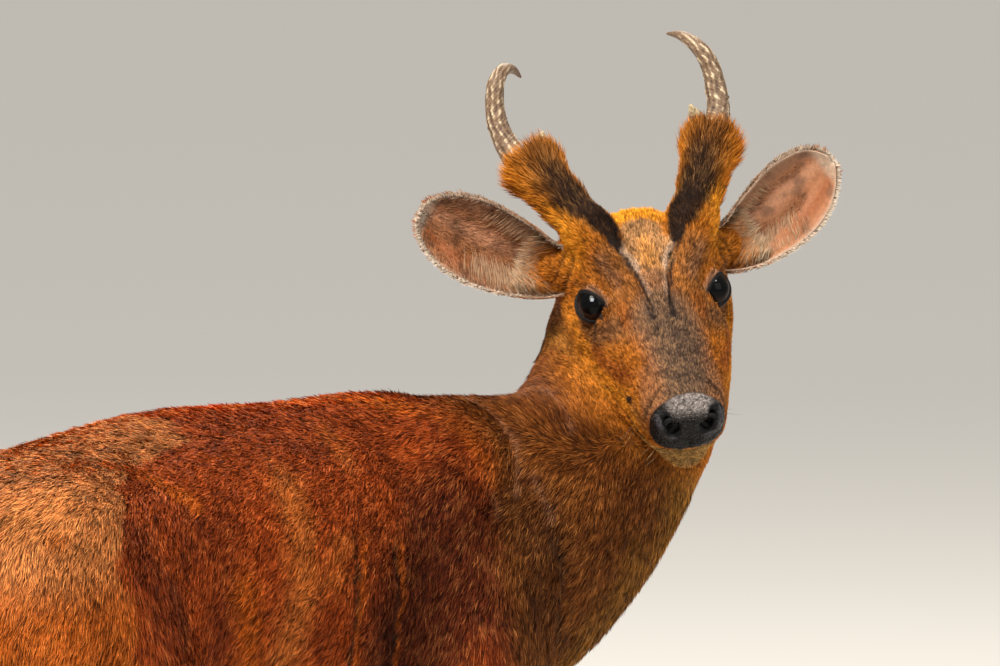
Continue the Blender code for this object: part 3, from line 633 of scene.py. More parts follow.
for line, depth_in, width in HEAD_FOLDS:
    for side in SIDES:
        place = to_head(points_of(skin))
        normal = normals_of(skin) @ HEAD_AXES
        shift = (0, MIDLINE, 0) if line is GLAND else (0, 0, 0)
        line_there = settled(divided(line, FOLD_STEP) * (1, side, 1) + shift, place)
        place = pushed_in(place, normal, line_there, depth_in, width)
        put_points(skin, from_head(place))
for line, depth_in, width in BODY_FOLDS:
    for side in SIDES:
        place = points_of(skin)
        line_there = settled(from_body(divided(line, 2 * FOLD_STEP) * (1, -side, 1)), place)
        put_points(skin, pushed_in(place, normals_of(skin), line_there, depth_in, width))
place = to_head(points_of(skin))
wart = settled([WART], place)
put_points(skin, from_head(pushed_in(place, normals_of(skin) @ HEAD_AXES, wart, -WART_HEIGHT, WART_RADIUS)))

place = to_head(points_of(skin))
for side in SIDES:
    flip = np.array([1, side, 1])
    edge, reach, ahead, outwards = beyond_lid(place * flip)
    near = (ahead > 0.05) & (reach < 0.030) & (reach > 0.004)
    under, rim, top = EYE_RADIUS - 0.0016, EYE_RADIUS + 0.0002, EYE_RADIUS + LID
    rolled = rim + (top - rim) * np.sqrt(np.clip(1 - (1 - np.clip(edge / LID_EDGE, 0, 1)) ** 2, 0, 1))
    dived = under + (rim - under) * smoothstep(-0.0009, 0.0, edge)
    lid = np.where(edge < 0, dived, rolled)
    slope = 0.0065 + 0.0150 * smoothstep(0.006, -0.006, outwards)
    keep = np.clip((edge - LID_EDGE) / slope, 0, 1) ** 1.7
    wanted = lid + keep * (np.maximum(reach, EYE_RADIUS + 0.0009) - lid)
    out = place - EYE_AT * flip
    scaled = EYE_AT * flip + out * (wanted / reach)[:, None]
    place = np.where(near[:, None], scaled, place)
put_points(skin, from_head(place))
around = Neighbours(skin)
print("the carved skin has", len(skin.data.polygons), "triangles")

# %% [markdown]
# The markings are one function of place, used by the skin and by every tuft, so they always agree.
# Each mark is a colour laid along a short line or round a spot, in the head's frame or the straight
# body's, with a radius where it fades. Later marks cover earlier ones, as coats of paint do.
# Some marks are painted light and shade: shade on the shoulder, in the flank hollow and in folds and creases,
# sheen on the rump, ribs and neck wrinkles.

# %% Markings
CHESTNUT = paint(170, 72, 22)
# dark rust hair on the back, also painted shade in the flank hollow
DARK_RUST_AND_SHADE = paint(132, 52, 16)
# a dark red painted shade, for the shoulder and the flank hollow
SHADOW_RED = paint(96, 38, 15)
AMBER = paint(204, 100, 22)
# a pale tawny painted sheen
TAWNY_SHEEN = paint(206, 116, 48)
RUMP_SHEEN = paint(206, 130, 70)
RUMP_GOLD = paint(186, 94, 26)
ORANGE = paint(172, 98, 22)
BRIGHT_ORANGE = paint(230, 146, 28)
GOLD = paint(204, 126, 30)
RUST = paint(146, 74, 20)
OLIVE_GOLD = paint(152, 104, 36)
AGOUTI = paint(116, 64, 22)
# dark ticked hair, also painted shade in folds and over the top of the neck
DARK_AGOUTI_AND_SHADE = paint(96, 52, 20)
TAN = paint(176, 128, 82)
WHITISH = paint(196, 168, 146)
CREAM = paint(160, 122, 68)
BROWN = paint(140, 88, 44)
PINK_BROWN = paint(142, 98, 70)
GREY_BROWN = paint(106, 82, 64)
DARK_GREY_BROWN = paint(82, 66, 56)
# a grey-pink painted sheen
PINK_SHEEN = paint(146, 106, 84)
BLACKISH = paint(38, 22, 12)
# sooty dark hair and skin, also painted shade in creases and folds
SOOT_AND_SHADE = paint(56, 36, 22)
BELLY = paint(190, 140, 90)
WHITE_FUR = paint(228, 216, 196)
LID_SKIN = paint(196, 144, 108)
UNDER_EYE = paint(118, 76, 46)
LID_DARK = paint(20, 16, 15)

STRIPE = [
    (-0.018, 0.0230, 0.0435), (-0.030, 0.0270, 0.0470), (-0.045, 0.0360, 0.0505), (-0.060, 0.0440, 0.0520),
    (-0.078, 0.0520, 0.0540), (-0.094, 0.0590, 0.0550),
]
HEAD_MARKS = (
    # colour, strength, radius, softness 0 to 1, and the line in the left half of the head
    (GOLD, 0.7, 0.030, 0.9, [(0.00, 0.058, -0.020), (0.04, 0.050, -0.014)]),
    (BRIGHT_ORANGE, 1.0, 0.036, 0.7, [(-0.080, 0.0, 0.020), (-0.052, 0.0, 0.036)]),
    (BRIGHT_ORANGE, 0.7, 0.024, 0.9, [(-0.044, 0.046, 0.040), (-0.030, 0.050, 0.026)]),
    (BROWN, 0.75, 0.022, 0.7, [(-0.004, 0.030, 0.036), (0.020, 0.026, 0.028), (0.044, 0.028, 0.016)]),
    (DARK_AGOUTI_AND_SHADE, 0.85, 0.042, 0.8, [(-0.030, 0.066, -0.050), (-0.010, 0.060, -0.062)]),
    (AGOUTI, 0.70, 0.030, 0.9, [(-0.024, 0.066, -0.030), (0.010, 0.062, -0.046)]),
    (PINK_BROWN, 0.7, 0.010, 0.9, [(-0.004, 0.036, 0.036), (0.012, 0.028, 0.030)]),
    (UNDER_EYE, 0.90, 0.014, 0.7, [(0.016, 0.050, -0.008), (0.034, 0.042, -0.002), (0.040, 0.034, 0.010)]),
    (TAN, 1.0, 0.021, 0.35, [(-0.030, 0.0, 0.038), (-0.010, 0.0, 0.040)]),
    (TAN, 0.9, 0.013, 0.5, [(-0.010, 0.0, 0.038), (0.010, 0.0, 0.038)]),
    (BRIGHT_ORANGE, 0.30, 0.009, 0.9, [(-0.020, 0.0, 0.040), (0.004, 0.0, 0.038)]),
    (PINK_BROWN, 0.8, 0.013, 0.7, [(0.018, 0.0, 0.037), (0.034, 0.0, 0.034)]),
    (PINK_BROWN, 0.85, 0.034, 0.5, [(0.052, 0.0, 0.032), (0.116, 0.0, 0.022)]),
    (GREY_BROWN, 0.95, 0.028, 0.7, [(0.046, 0.0, 0.032), (0.066, 0.0, 0.030), (0.112, 0.0, 0.024)]),
    (DARK_GREY_BROWN, 0.55, 0.015, 0.9, [(0.056, 0.0, 0.030), (0.108, 0.0, 0.024)]),
    (PINK_BROWN, 0.55, 0.014, 0.8, [(0.090, 0.022, 0.012), (0.112, 0.024, 0.000)]),
    (RUST, 0.60, 0.008, 0.9, [(0.030, 0.0260, 0.0230), (0.044, 0.0260, 0.018)]),
    (RUST, 0.90, 0.012, 0.8, [(0.040, 0.0470, -0.009), (0.058, 0.0430, -0.007), (0.078, 0.0340, 0.000)]),
    (GOLD, 0.9, 0.014, 0.8, [(0.062, 0.045, -0.020), (0.082, 0.040, -0.014), (0.100, 0.034, -0.012)]),
    (OLIVE_GOLD, 0.6, 0.024, 0.8, [(-0.02, 0.050, -0.052), (0.05, 0.040, -0.050)]),
    (BROWN, 0.7, 0.009, 0.8, [(0.100, 0.032, -0.010), (0.116, 0.028, -0.012)]),
    (CREAM, 0.9, 0.0135, 0.4, [(0.118, 0.0, -0.046), (0.100, 0.020, -0.045)]),
    (CREAM, 1.0, 0.0110, 0.5, [(0.128, 0.0, -0.034), (0.122, 0.014, -0.034), (0.110, 0.024, -0.034)]),
    (OLIVE_GOLD, 0.7, 0.0080, 0.8, [(0.112, 0.026, -0.022), (0.100, 0.032, -0.024)]),
    (WHITE_FUR, 0.8, 0.022, 0.6, [(0.060, 0.0, -0.062), (0.0, 0.0, -0.070)]),
    (WHITISH, 0.65, 0.0042, 0.8, [(-0.017, 0.020, 0.043), (-0.004, 0.013, 0.038), (0.006, 0.010, 0.037)]),
    (WHITISH, 0.35, 0.0030, 0.8, [(0.0060, 0.0100, 0.0370), (0.0280, 0.0068, 0.0335)]),
    # painted shade in the two folds behind the eye
    (DARK_AGOUTI_AND_SHADE, 0.55, 0.004, 0.8, [(-0.03, 0.046, 0.022), (-0.022, 0.054, 0.006), (-0.026, 0.058, -0.012)]),
    (DARK_AGOUTI_AND_SHADE, 0.55, 0.0035, 0.8, [(-0.037, 0.05, 0.02), (-0.031, 0.059, 0.004), (-0.034, 0.062, -0.014)]),
    (LID_SKIN, 0.90, 0.0058, 0.6, UPPER_LID),
    # painted shade in the upper lid's fold
    (DARK_AGOUTI_AND_SHADE, 0.75, 0.0020, 0.8, UPPER_LID_FOLD),
    (SOOT_AND_SHADE, 0.85, 0.0034, 0.6, TEAR_SLIT),
    (SOOT_AND_SHADE, 0.90, 0.0048, 0.6, OUTER_CORNER),
    (BLACKISH, 1.0, 0.0025, 0.45, GLAND),
    (AGOUTI, 0.75, 0.0260, 0.9, STRIPE[2:]),
    (BLACKISH, 1.0, 0.0090, 0.50, STRIPE[:2]),
    (BLACKISH, 1.0, 0.0155, 0.50, STRIPE[1:3]),
    (BLACKISH, 0.92, 0.0180, 0.55, STRIPE[2:4]),
    (SOOT_AND_SHADE, 0.85, 0.0190, 0.85, STRIPE[3:5]),
    (SOOT_AND_SHADE, 0.55, 0.0190, 0.90, STRIPE[4:]),
    (SOOT_AND_SHADE, 0.75, 0.0032, 0.6, [(0.106, 0.018, 0.0165), (0.112, 0.027, 0.008), (0.116, 0.030, -0.004)]),
    (SOOT_AND_SHADE, 0.8, 0.0022, 0.5, MOUTH[2:]),
)
BODY_MARKS = (
    # colour, strength, radius, softness, and the line in the right half of the straight body's frame
    # painted shade over the shoulder, darkening its red hair where it lies in shadow
    (SHADOW_RED, 0.95, 0.085, 0.6, [(0.085, -0.09, 0.380), (0.125, -0.085, 0.455), (0.190, -0.084, 0.430)]),
    (SHADOW_RED, 0.45, 0.050, 0.9, [(0.050, -0.090, 0.390), (0.045, -0.090, 0.470)]),
    # painted shade in the flank hollow, in front of the thigh and behind the ribs
    (DARK_RUST_AND_SHADE, 0.85, 0.046, 0.8, [(-0.240, -0.085, 0.490), (-0.215, -0.090, 0.400)]),
    (SHADOW_RED, 0.60, 0.018, 0.9, [(-0.205, -0.090, 0.462), (-0.200, -0.090, 0.435)]),
    (DARK_RUST_AND_SHADE, 0.70, 0.040, 0.9, [(-0.165, -0.09, 0.490), (-0.120, -0.085, 0.490), (-0.140, -0.090, 0.400)]),
    # painted light on the lit bulge of the ribs, in amber and a paler tawny sheen
    (AMBER, 0.80, 0.024, 0.9, [(-0.108, -0.090, 0.450), (-0.100, -0.090, 0.400)]),
    (TAWNY_SHEEN, 0.75, 0.030, 0.9, [(-0.036, -0.080, 0.515), (-0.044, -0.090, 0.450), (-0.060, -0.090, 0.400)]),
    (TAWNY_SHEEN, 0.50, 0.020, 0.9, [(0.002, -0.090, 0.472), (-0.005, -0.090, 0.452)]),
    (TAWNY_SHEEN, 0.45, 0.018, 0.9, [(0.040, -0.050, 0.530), (0.044, -0.060, 0.520)]),
    (AMBER, 0.85, 0.020, 0.8, [
        (-0.100, 0.0, 0.560), (0.030, 0.0, 0.562), (0.100, -0.006, 0.560), (0.140, -0.030, 0.548),
    ]),
    (AMBER, 0.50, 0.012, 0.8, [(0.140, -0.030, 0.548), (0.172, -0.066, 0.522), (0.184, -0.074, 0.500)]),
    (DARK_RUST_AND_SHADE, 0.60, 0.012, 0.9, [(-0.110, -0.040, 0.548), (-0.075, -0.050, 0.540)]),
    (DARK_RUST_AND_SHADE, 0.50, 0.011, 0.9, [(-0.010, -0.055, 0.535), (0.020, -0.060, 0.525)]),
    (BELLY, 0.9, 0.055, 0.8, [(-0.22, 0, 0.330), (0.12, 0, 0.295)]),
    # painted shade in the shoulder creases
    *((SOOT_AND_SHADE, 0.75, 0.0050, 0.8, line) for line in CREASES),
    *((AMBER, 0.55, 0.0040, 0.8, np.array(line) + (0.007, 0, 0)) for line in CREASES),
)
NECK_MARKS = (
    # laid over the neck's own ticked colour, in the same frame
    # painted shade behind the neck's fold and over the top of the neck
    (DARK_AGOUTI_AND_SHADE, 0.80, 0.040, 0.8, [(0.215, -0.083, 0.470), (0.235, -0.083, 0.390)]),
    (DARK_AGOUTI_AND_SHADE, 0.75, 0.040, 0.8, [(0.250, -0.046, 0.544), (0.285, -0.010, 0.555)]),
    (OLIVE_GOLD, 0.7, 0.060, 0.9, [(0.25, 0, 0.33), (0.33, -0.05, 0.40)]),
    # painted shade in the neck's fold
    (SOOT_AND_SHADE, 0.70, 0.0085, 0.8, NECK_FOLD),
    # painted sheen along each neck wrinkle, with painted shade beside it
    *((PINK_SHEEN, 0.38, 0.0075, 0.9, line) for line in NECK_WRINKLES),
    *((DARK_AGOUTI_AND_SHADE, 0.70, 0.0060, 0.8, np.array(line) - (0.009, 0, 0)) for line in NECK_WRINKLES),
    *((DARK_AGOUTI_AND_SHADE, 0.60, 0.0060, 0.8, np.array(line) + (0.010, 0, 0)) for line in NECK_WRINKLES),
)
# where the rump's golden hair and its painted sheen end, at heights up the body
RUMP_EDGE_HEIGHTS = [0.400, 0.460, 0.490, 0.532, 0.545]
RUMP_EDGE = [-0.272, -0.263, -0.275, -0.234, -0.100]
RUMP_RIDGE = [(-0.215, -0.047, 0.541), (-0.175, -0.060, 0.528), (-0.142, -0.071, 0.508)]
RUMP_WHORL = np.array([-0.318, -0.062, 0.508])


def mixed(colour, other, amount):
    return colour + (other - colour) * amount[:, None]


def laid_on(colour, place, marks):
    """Lays marks over a colour, each with a slightly ragged edge. place is already folded to one side."""
    for seed, (paint_colour, strength, radius, softness, line) in enumerate(marks):
        gone, _ = distance_to_line(place, line)
        gone = gone * (1 + 0.16 * wandering(place, max(radius, 0.006), seed + 50))
        colour = mixed(colour, paint_colour, strength * smoothstep(radius, radius * (1 - softness), gone))
    return colour


def wandering(co, size, seed):
    """Smooth noise from a few crossed waves, from -1 to 1."""
    rng = np.random.default_rng(seed)
    total = np.zeros(len(co))
    for _ in range(7):
        way = unit(rng.normal(size=3)) / (size * rng.uniform(0.6, 1.6))
        total += np.sin(co @ way * 2 * math.pi + rng.uniform(0, 6.28))
    return total / 3.2


def settled_marks(marks, place):
    """The marks with the lines of the small ones laid on the skin, which lies deeper than the solids."""
    made = []
    for colour, strength, radius, softness, line in marks:
        if radius < 0.006:
            line = divided(line, 2 * FOLD_STEP)
        made.append((colour, strength, radius, softness, settled(line, place) if radius < 0.04 else line))
    return made


body_cloud = to_body(points_of(skin))
body_cloud[:, 1] = -np.abs(body_cloud[:, 1])
head_cloud = to_head(points_of(skin)[head_amount(points_of(skin)) > 0.5])
head_cloud[:, 1] = np.abs(head_cloud[:, 1])
HEAD_MARKS = settled_marks(HEAD_MARKS, head_cloud)
BODY_MARKS = settled_marks(BODY_MARKS, body_cloud)
NECK_MARKS = settled_marks(NECK_MARKS, body_cloud)
RUMP_RIDGE = settled(RUMP_RIDGE, body_cloud)
WART_ON_SKIN = settled([WART], to_head(points_of(skin)))[0]
NOSTRIL, GLAND = (settled(divided(line, FOLD_STEP / 2), head_cloud) for line in (NOSTRIL, GLAND))


def rump_sheen_amount(body):
    """1 on the rump and along the back above the ridge: golden hair below, a painted sheen on top."""
    edge_at = np.interp(body[:, 2], RUMP_EDGE_HEIGHTS, RUMP_EDGE) + 0.006 * wandering(body, 0.020, 21)
    return smoothstep(0.005, -0.006, body[:, 0] - edge_at) * smoothstep(0.38, 0.42, body[:, 2])


def body_markings(co, neck_share):
    body = to_body(co)
    body[:, 1] = -np.abs(body[:, 1])
    colour = laid_on(np.tile(CHESTNUT, (len(co), 1)), body, BODY_MARKS)
    # the rump: golden hair low down, a pale painted sheen on top where the hair faces up into the light
    rump = mixed(np.tile(RUMP_GOLD, (len(co), 1)), RUMP_SHEEN, smoothstep(0.455, 0.500, body[:, 2]))
    colour = mixed(colour, rump, 0.9 * rump_sheen_amount(body))
    colour = laid_on(colour, body, (
        (AMBER, 0.9, 0.010, 0.8, RUMP_RIDGE),
        (AMBER, 0.5, 0.012, 0.9, [RUMP_WHORL]),
    ))
    low = smoothstep(0.32, 0.16, body[:, 2])
    colour = mixed(colour, AGOUTI, low * 0.8)
    colour = mixed(colour, SOOT_AND_SHADE, 0.5 * smoothstep(0.20, 0.06, body[:, 2]))
    inner = smoothstep(-0.050, -0.030, body[:, 1]) * smoothstep(0.40, 0.30, body[:, 2])
    inner = inner * smoothstep(0.10, 0.18, body[:, 2])
    colour = mixed(colour, BELLY, 0.8 * inner)
    under_tail = smoothstep(-0.385, -0.390, body[:, 0]) * smoothstep(0.33, 0.36, body[:, 2])
    colour = mixed(colour, WHITE_FUR, under_tail)
    neck = np.tile(AGOUTI, (len(co), 1))
    neck = mixed(neck, AMBER, 0.22 * smoothstep(0.49, 0.60, body[:, 2]))
    neck = mixed(neck, OLIVE_GOLD, smoothstep(0.325, 0.375, body[:, 0]) * smoothstep(0.56, 0.50, body[:, 2]))
    neck = laid_on(neck, body, NECK_MARKS)
    reach = np.maximum(neck_share, smoothstep(0.165, 0.200, body[:, 0]) * smoothstep(0.30, 0.35, body[:, 2]))
    return mixed(colour, neck, 0.95 * reach)


def head_markings(co, parts):
    head = to_head(co)
    shift = np.interp(head[:, 0], [0.045, 0.070, 0.105, 0.120], [MIDLINE, 0.003, 0.003, 0])
    head[:, 1] = np.abs(head[:, 1] - shift * smoothstep(0.036, 0.022, np.abs(head[:, 1])))
    colour = np.tile(ORANGE, (len(co), 1))
    colour = mixed(colour, BRIGHT_ORANGE, 0.35 * parts["pedicel"])
    colour = laid_on(colour, head, HEAD_MARKS)
    return laid_on(colour, to_head(co), ((SOOT_AND_SHADE, 1.0, 0.0042, 0.4, [WART_ON_SKIN]),))


def markings(co):
    parts = regions(co)
    colour = mixed(body_markings(co, parts["neck"]), head_markings(co, parts), parts["head"])
    return np.clip(colour, 0.002, 1)


# %% [markdown]
# The skin's material reads the painted colour from an attribute, breaks it up with fine noise, and
# mixes in the wet look of nose pad and lids by a second attribute: pebbles for the bump and a low
# roughness. Fur roughness is high. A constant such as the specular level sits on the shader itself.

# %% Paint the skin


def node_material(name, roughness, specular):
    material = bpy.data.materials.new(name)
    material.use_nodes = True
    nodes, links = material.node_tree.nodes, material.node_tree.links
    shader = nodes["Principled BSDF"]
    shader.inputs["Roughness"].default_value = roughness
    shader.inputs["Specular IOR Level"].default_value = specular
    return material, nodes, links, shader


def node(nodes, kind, **settings):
    made = nodes.new(kind)
    for key, value in settings.items():
        if key in made.inputs:
            made.inputs[key].default_value = value
        else:
            setattr(made, key, value)
    return made


def noise_node(nodes, links, scale, detail=3):
    place = node(nodes, "ShaderNodeTexCoord")
    noise = node(nodes, "ShaderNodeTexNoise", Scale=scale, Detail=detail)
    links.new(place.outputs["Object"], noise.inputs["Vector"])
    return noise


def tinted(nodes, links, colour_socket, noise, low, high):
    """The colour made darker and lighter by the noise."""
    spread = node(nodes, "ShaderNodeMapRange")
    spread.inputs["From Min"].default_value = 0.3
    spread.inputs["From Max"].default_value = 0.7
    spread.inputs["To Min"].default_value = low
    spread.inputs["To Max"].default_value = high
    links.new(noise.outputs["Fac"], spread.inputs["Value"])
    mix = node(nodes, "ShaderNodeVectorMath", operation="SCALE")
    links.new(colour_socket, mix.inputs[0])
    links.new(spread.outputs["Result"], mix.inputs["Scale"])
    return mix.outputs["Vector"]


def coated_material(name, roughness, specular, scale, detail, low, high):
    """A material that shows the Coat attribute, made darker and lighter by fine noise."""
    material, nodes, links, shader = node_material(name, roughness, specular)
    colour = node(nodes, "ShaderNodeAttribute", attribute_name="Coat")
    noise = noise_node(nodes, links, scale, detail)
    shown = tinted(nodes, links, colour.outputs["Color"], noise, low, high)
    links.new(shown, shader.inputs["Base Color"])
    return material, nodes, links, shader, noise


def bump_node(nodes, links, height, strength, distance, normal=None):
    bump = node(nodes, "ShaderNodeBump", Strength=strength, Distance=distance)
    links.new(height, bump.inputs["Height"])
    if normal is not None:
        links.new(normal, bump.inputs["Normal"])
    return bump.outputs["Normal"]


def paint_points(obj, colours, name="Coat"):
    layer = obj.data.color_attributes.new(name, "FLOAT_COLOR", "POINT")
    rgba = np.concatenate([colours, np.ones((len(colours), 1))], axis=1)
    layer.data.foreach_set("color", rgba.astype(np.float32).ravel())


def number_points(obj, values, name):
    layer = obj.data.attributes.new(name, "FLOAT", "POINT")
    layer.data.foreach_set("value", np.asarray(values, np.float32))


co = points_of(skin)
bent = co + 0.0014 * np.stack([wandering(co, 0.0065, seed) for seed in (41, 42, 43)], axis=1)
pebble_rise = 0.00035 * pad_amount(to_head(co)) * head_amount(co) * wandering(bent, 0.0028, 33)
put_points(skin, co + normals_of(skin) * pebble_rise[:, None])
co = points_of(skin)
place = to_head(co)
on_left = folded(place)
edge, reach, ahead, outwards = beyond_lid(on_left)
lid_close = (ahead > 0.15) & (reach < 0.019)
lid_rim = smoothstep(0.0021, 0.0011, edge) * lid_close
pad = pad_amount(place) * head_amount(co)
hole = smoothstep(0.0048, 0.0030, distance_to_line(on_left, NOSTRIL)[0])
mouth = smoothstep(0.0016, 0.0008, distance_to_line(on_left, MOUTH)[0])
# the wet pad is near black, with a pale painted reflection over its top and painted highlights on the
# nostrils' raised rims
PAD_DARK, PAD_REFLECTION, PAD_RIM_HIGHLIGHT = paint(17, 12, 10), paint(136, 127, 123), paint(66, 64, 70)
PAD_TOP = [(0.121, -0.006, 0.0155), (0.122, 0.008, 0.0150)]
pad_top_reflection = smoothstep(0.0145, 0.004, distance_to_line(place, PAD_TOP)[0])
pad_rim_highlight = smoothstep(0.0045, 0.0015, distance_to_line(on_left, NOSTRIL_RIM)[0])
pad_colour = mixed(np.tile(PAD_DARK, (len(co), 1)), PAD_REFLECTION, 0.9 * pad_top_reflection)
pad_colour = mixed(pad_colour, PAD_RIM_HIGHLIGHT, 0.7 * pad_rim_highlight)
pad_colour *= (1 + 0.60 * wandering(bent, 0.0026, 31))[:, None]
skin_colour = markings(co) * 0.5
skin_colour = mixed(skin_colour, pad_colour, pad)
# painted shade: the nostrils are near black inside
skin_colour = mixed(skin_colour, paint(8, 6, 6), hole)
skin_colour = mixed(skin_colour, paint(26, 18, 18), mouth)
skin_colour = mixed(skin_colour, LID_DARK, lid_rim)
paint_points(skin, np.clip(skin_colour, 0.001, 1))
wet = np.clip(pad * (1 - 0.8 * hole) + 0.3 * lid_rim, 0, 1)
number_points(skin, wet, "Wet")

DRY_ROUGHNESS, WET_ROUGHNESS = 0.85, 0.20
hide, nodes, links, shader, mottle = coated_material("hide", DRY_ROUGHNESS, 0.25, 900, 2, 0.75, 1.25)
wet_amount = node(nodes, "ShaderNodeAttribute", attribute_name="Wet")
rough = node(nodes, "ShaderNodeMapRange")
rough.inputs["To Min"].default_value = DRY_ROUGHNESS
rough.inputs["To Max"].default_value = WET_ROUGHNESS
links.new(wet_amount.outputs["Fac"], rough.inputs["Value"])
links.new(rough.outputs["Result"], shader.inputs["Roughness"])
pebbles = node(nodes, "ShaderNodeTexVoronoi", Scale=760.0)
pebble_place = node(nodes, "ShaderNodeTexCoord")
links.new(pebble_place.outputs["Object"], pebbles.inputs["Vector"])
raised = node(nodes, "ShaderNodeMath", operation="MULTIPLY")
links.new(pebbles.outputs["Distance"], raised.inputs[0])
links.new(wet_amount.outputs["Fac"], raised.inputs[1])
pebbled = bump_node(nodes, links, raised.outputs["Value"], 1.0, -0.0013)
links.new(bump_node(nodes, links, mottle.outputs["Fac"], 0.4, 0.0004, pebbled), shader.inputs["Normal"])
skin.data.materials.clear()
skin.data.materials.append(hide)
skin.data.shade_smooth()
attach(skin, "root")
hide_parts(*FLESH)
print("painted", len(co), "points")

# %% [markdown]
# Hair lies along the body: from the nose back over the head, down the neck, along the back to the
# tail, down the legs and up the pedicels. Short lines through the animal give these ways, each point
# takes a mean of the ways near it, laid flat on the skin, and averaging over the mesh makes the
# streams run smoothly into one another. On the flanks the hair also sinks a little.

# %% The lie of the coat
HEAD_WAYS = (
    # lines that the hair follows, in the left half of the head's frame
    [
        (0.128, 0.010, 0.010), (0.080, 0.012, 0.026), (0.030, 0.012, 0.036),
        (-0.020, 0.010, 0.040), (-0.070, 0.010, 0.026), (-0.090, 0.010, -0.010),
    ],
    [
        (0.120, 0.026, -0.004), (0.080, 0.038, -0.008), (0.040, 0.048, -0.014),
        (0.000, 0.058, -0.022), (-0.040, 0.064, -0.036), (-0.070, 0.058, -0.056),
    ],
    [(0.118, 0.022, -0.036), (0.060, 0.034, -0.050), (0.000, 0.040, -0.064), (-0.060, 0.036, -0.084)],
    [
        (0.020, 0.036, 0.026), (0.000, 0.042, 0.030), (-0.030, 0.046, 0.030),
        (-0.050, 0.052, 0.020), (-0.075, 0.050, 0.0),
    ],
)
BODY_WAYS = (
    # and in the straight body's frame, for its left side
    [
        (0.150, 0.02, 0.556), (0.05, 0.02, 0.558), (-0.15, 0.02, 0.556),
        (-0.30, 0.02, 0.540), (-0.350, 0.01, 0.510),
    ],
    [
        (0.200, 0.07, 0.470), (0.100, 0.09, 0.440), (0.0, 0.095, 0.425),
        (-0.12, 0.09, 0.415), (-0.24, 0.09, 0.390), (-0.320, 0.07, 0.350),
    ],
    [(0.200, 0.03, 0.330), (0.050, 0.03, 0.300), (-0.200, 0.03, 0.320)],
    [
        (0.190, 0.07, 0.420), (0.165, 0.075, 0.330), (0.166, 0.065, 0.260),
        (0.172, 0.058, 0.180), (0.168, 0.056, 0.100), (0.188, 0.056, 0.020),
    ],
    [
        (-0.230, 0.08, 0.420), (-0.225, 0.085, 0.340), (-0.250, 0.066, 0.270),
        (-0.292, 0.058, 0.190), (-0.286, 0.055, 0.100), (-0.262, 0.055, 0.020),
    ],
    [(-0.340, 0.0, 0.510), (-0.374, 0.0, 0.482), (-0.388, 0.0, 0.440), (-0.392, 0.0, 0.370)],
)
NECK_WAYS = (
    # and down the turned neck, as offsets from where the body's own frame begins
    [(0.356, -0.066, 0.620), (0.330, -0.030, 0.570), (0.280, -0.010, 0.545), (0.200, -0.010, 0.540)],
    [(0.330, -0.130, 0.560), (0.300, -0.130, 0.500), (0.250, -0.120, 0.450), (0.190, -0.100, 0.420)],
    [(0.400, -0.110, 0.540), (0.405, -0.090, 0.480), (0.360, -0.060, 0.390), (0.290, -0.040, 0.330)],
    [(0.360, -0.010, 0.560), (0.320, 0.020, 0.480), (0.250, 0.040, 0.450)],
)
PEDICEL_LINE = [PEDICEL_ROOT + PEDICEL_WAY * (PEDICEL_LENGTH * share) for share in (-0.1, 0.3, 0.7, 1.1)]
WAY_STEP = 0.012


def sampled_ways():
    """Points along every line, each with the way that the hair takes there."""
    lines = []
    for side in SIDES:
        lines += [from_head(np.array(line) * (1, side, 1)) for line in (*HEAD_WAYS, PEDICEL_LINE)]
        lines += [from_body(np.array(line) * (1, side, 1)) for line in BODY_WAYS]
    lines += [np.array(line) + body_at for line in NECK_WAYS]
    places, ways = [], []
    for line in lines:
        for a, b in zip(line, line[1:]):
            steps = max(1, round(float(np.linalg.norm(b - a)) / WAY_STEP))
            for i in range(steps):
                places.append(a + (b - a) * (i + 0.5) / steps)
                ways.append((b - a) / np.linalg.norm(b - a))
    return np.array(places), np.array(ways)


def flattened(ways, normal):
    return unit(ways - normal * np.sum(ways * normal, axis=1, keepdims=True))


places, ways = sampled_ways()
normal = normals_of(skin)
lie = np.zeros_like(co)
total = np.zeros(len(co))
for place_there, way_there in zip(places, ways):
    gap = np.maximum(np.sum((co - place_there) ** 2, axis=1), 1e-5)
    weight = gap ** -2.2
    lie += weight[:, None] * way_there
    total += weight
lie = unit(lie / total[:, None])
parts = regions(co)
left_way, right_way = (from_head([PEDICEL_WAY * (1, side, 1)])[0] - np.array(head_at) for side in SIDES)
pedicel_lie = np.where((to_head(co)[:, 1] > 0)[:, None], left_way, right_way)
lie = unit(lie + parts["pedicel"][:, None] * (unit(pedicel_lie) - lie))
sinks = (1 - parts["head"]) * (1 - np.abs(normal[:, 2])) * (1 - parts["tail"])
lie[:, 2] -= 0.50 * sinks
lie = flattened(lie, normal)
place = to_head(co)
for side in SIDES:
    flip = np.array([1, side, 1])
    edge_there, reach, ahead, outwards = beyond_lid(place * flip)
    close = smoothstep(0.013, 0.004, edge_there) * (ahead > 0.1) * (reach < 0.030) * parts["head"]
    outward = flattened((place - (EYE_AT + EYE_LOOKS * EYE_RADIUS) * flip) @ HEAD_AXES.T, normal)
    inward = np.minimum(np.sum(lie * outward, axis=1), 0)
    lie = lie + (close * (0.45 - 1.2 * inward))[:, None] * outward
    gone, _ = distance_to_line(place, np.array(GLAND) * flip + (0, MIDLINE, 0))
    groove_way = HEAD_AXES @ (unit(np.array(GLAND[0]) - GLAND[-1]) * flip)
    lie = lie + (smoothstep(0.008, 0.002, gone) * 2)[:, None] * groove_way
lie = flattened(lie, normal)
for _ in range(4):
    lie = flattened(0.4 * lie + 0.6 * around.mean(lie), normal)
print("hair lies by", len(places), "places along its lines")

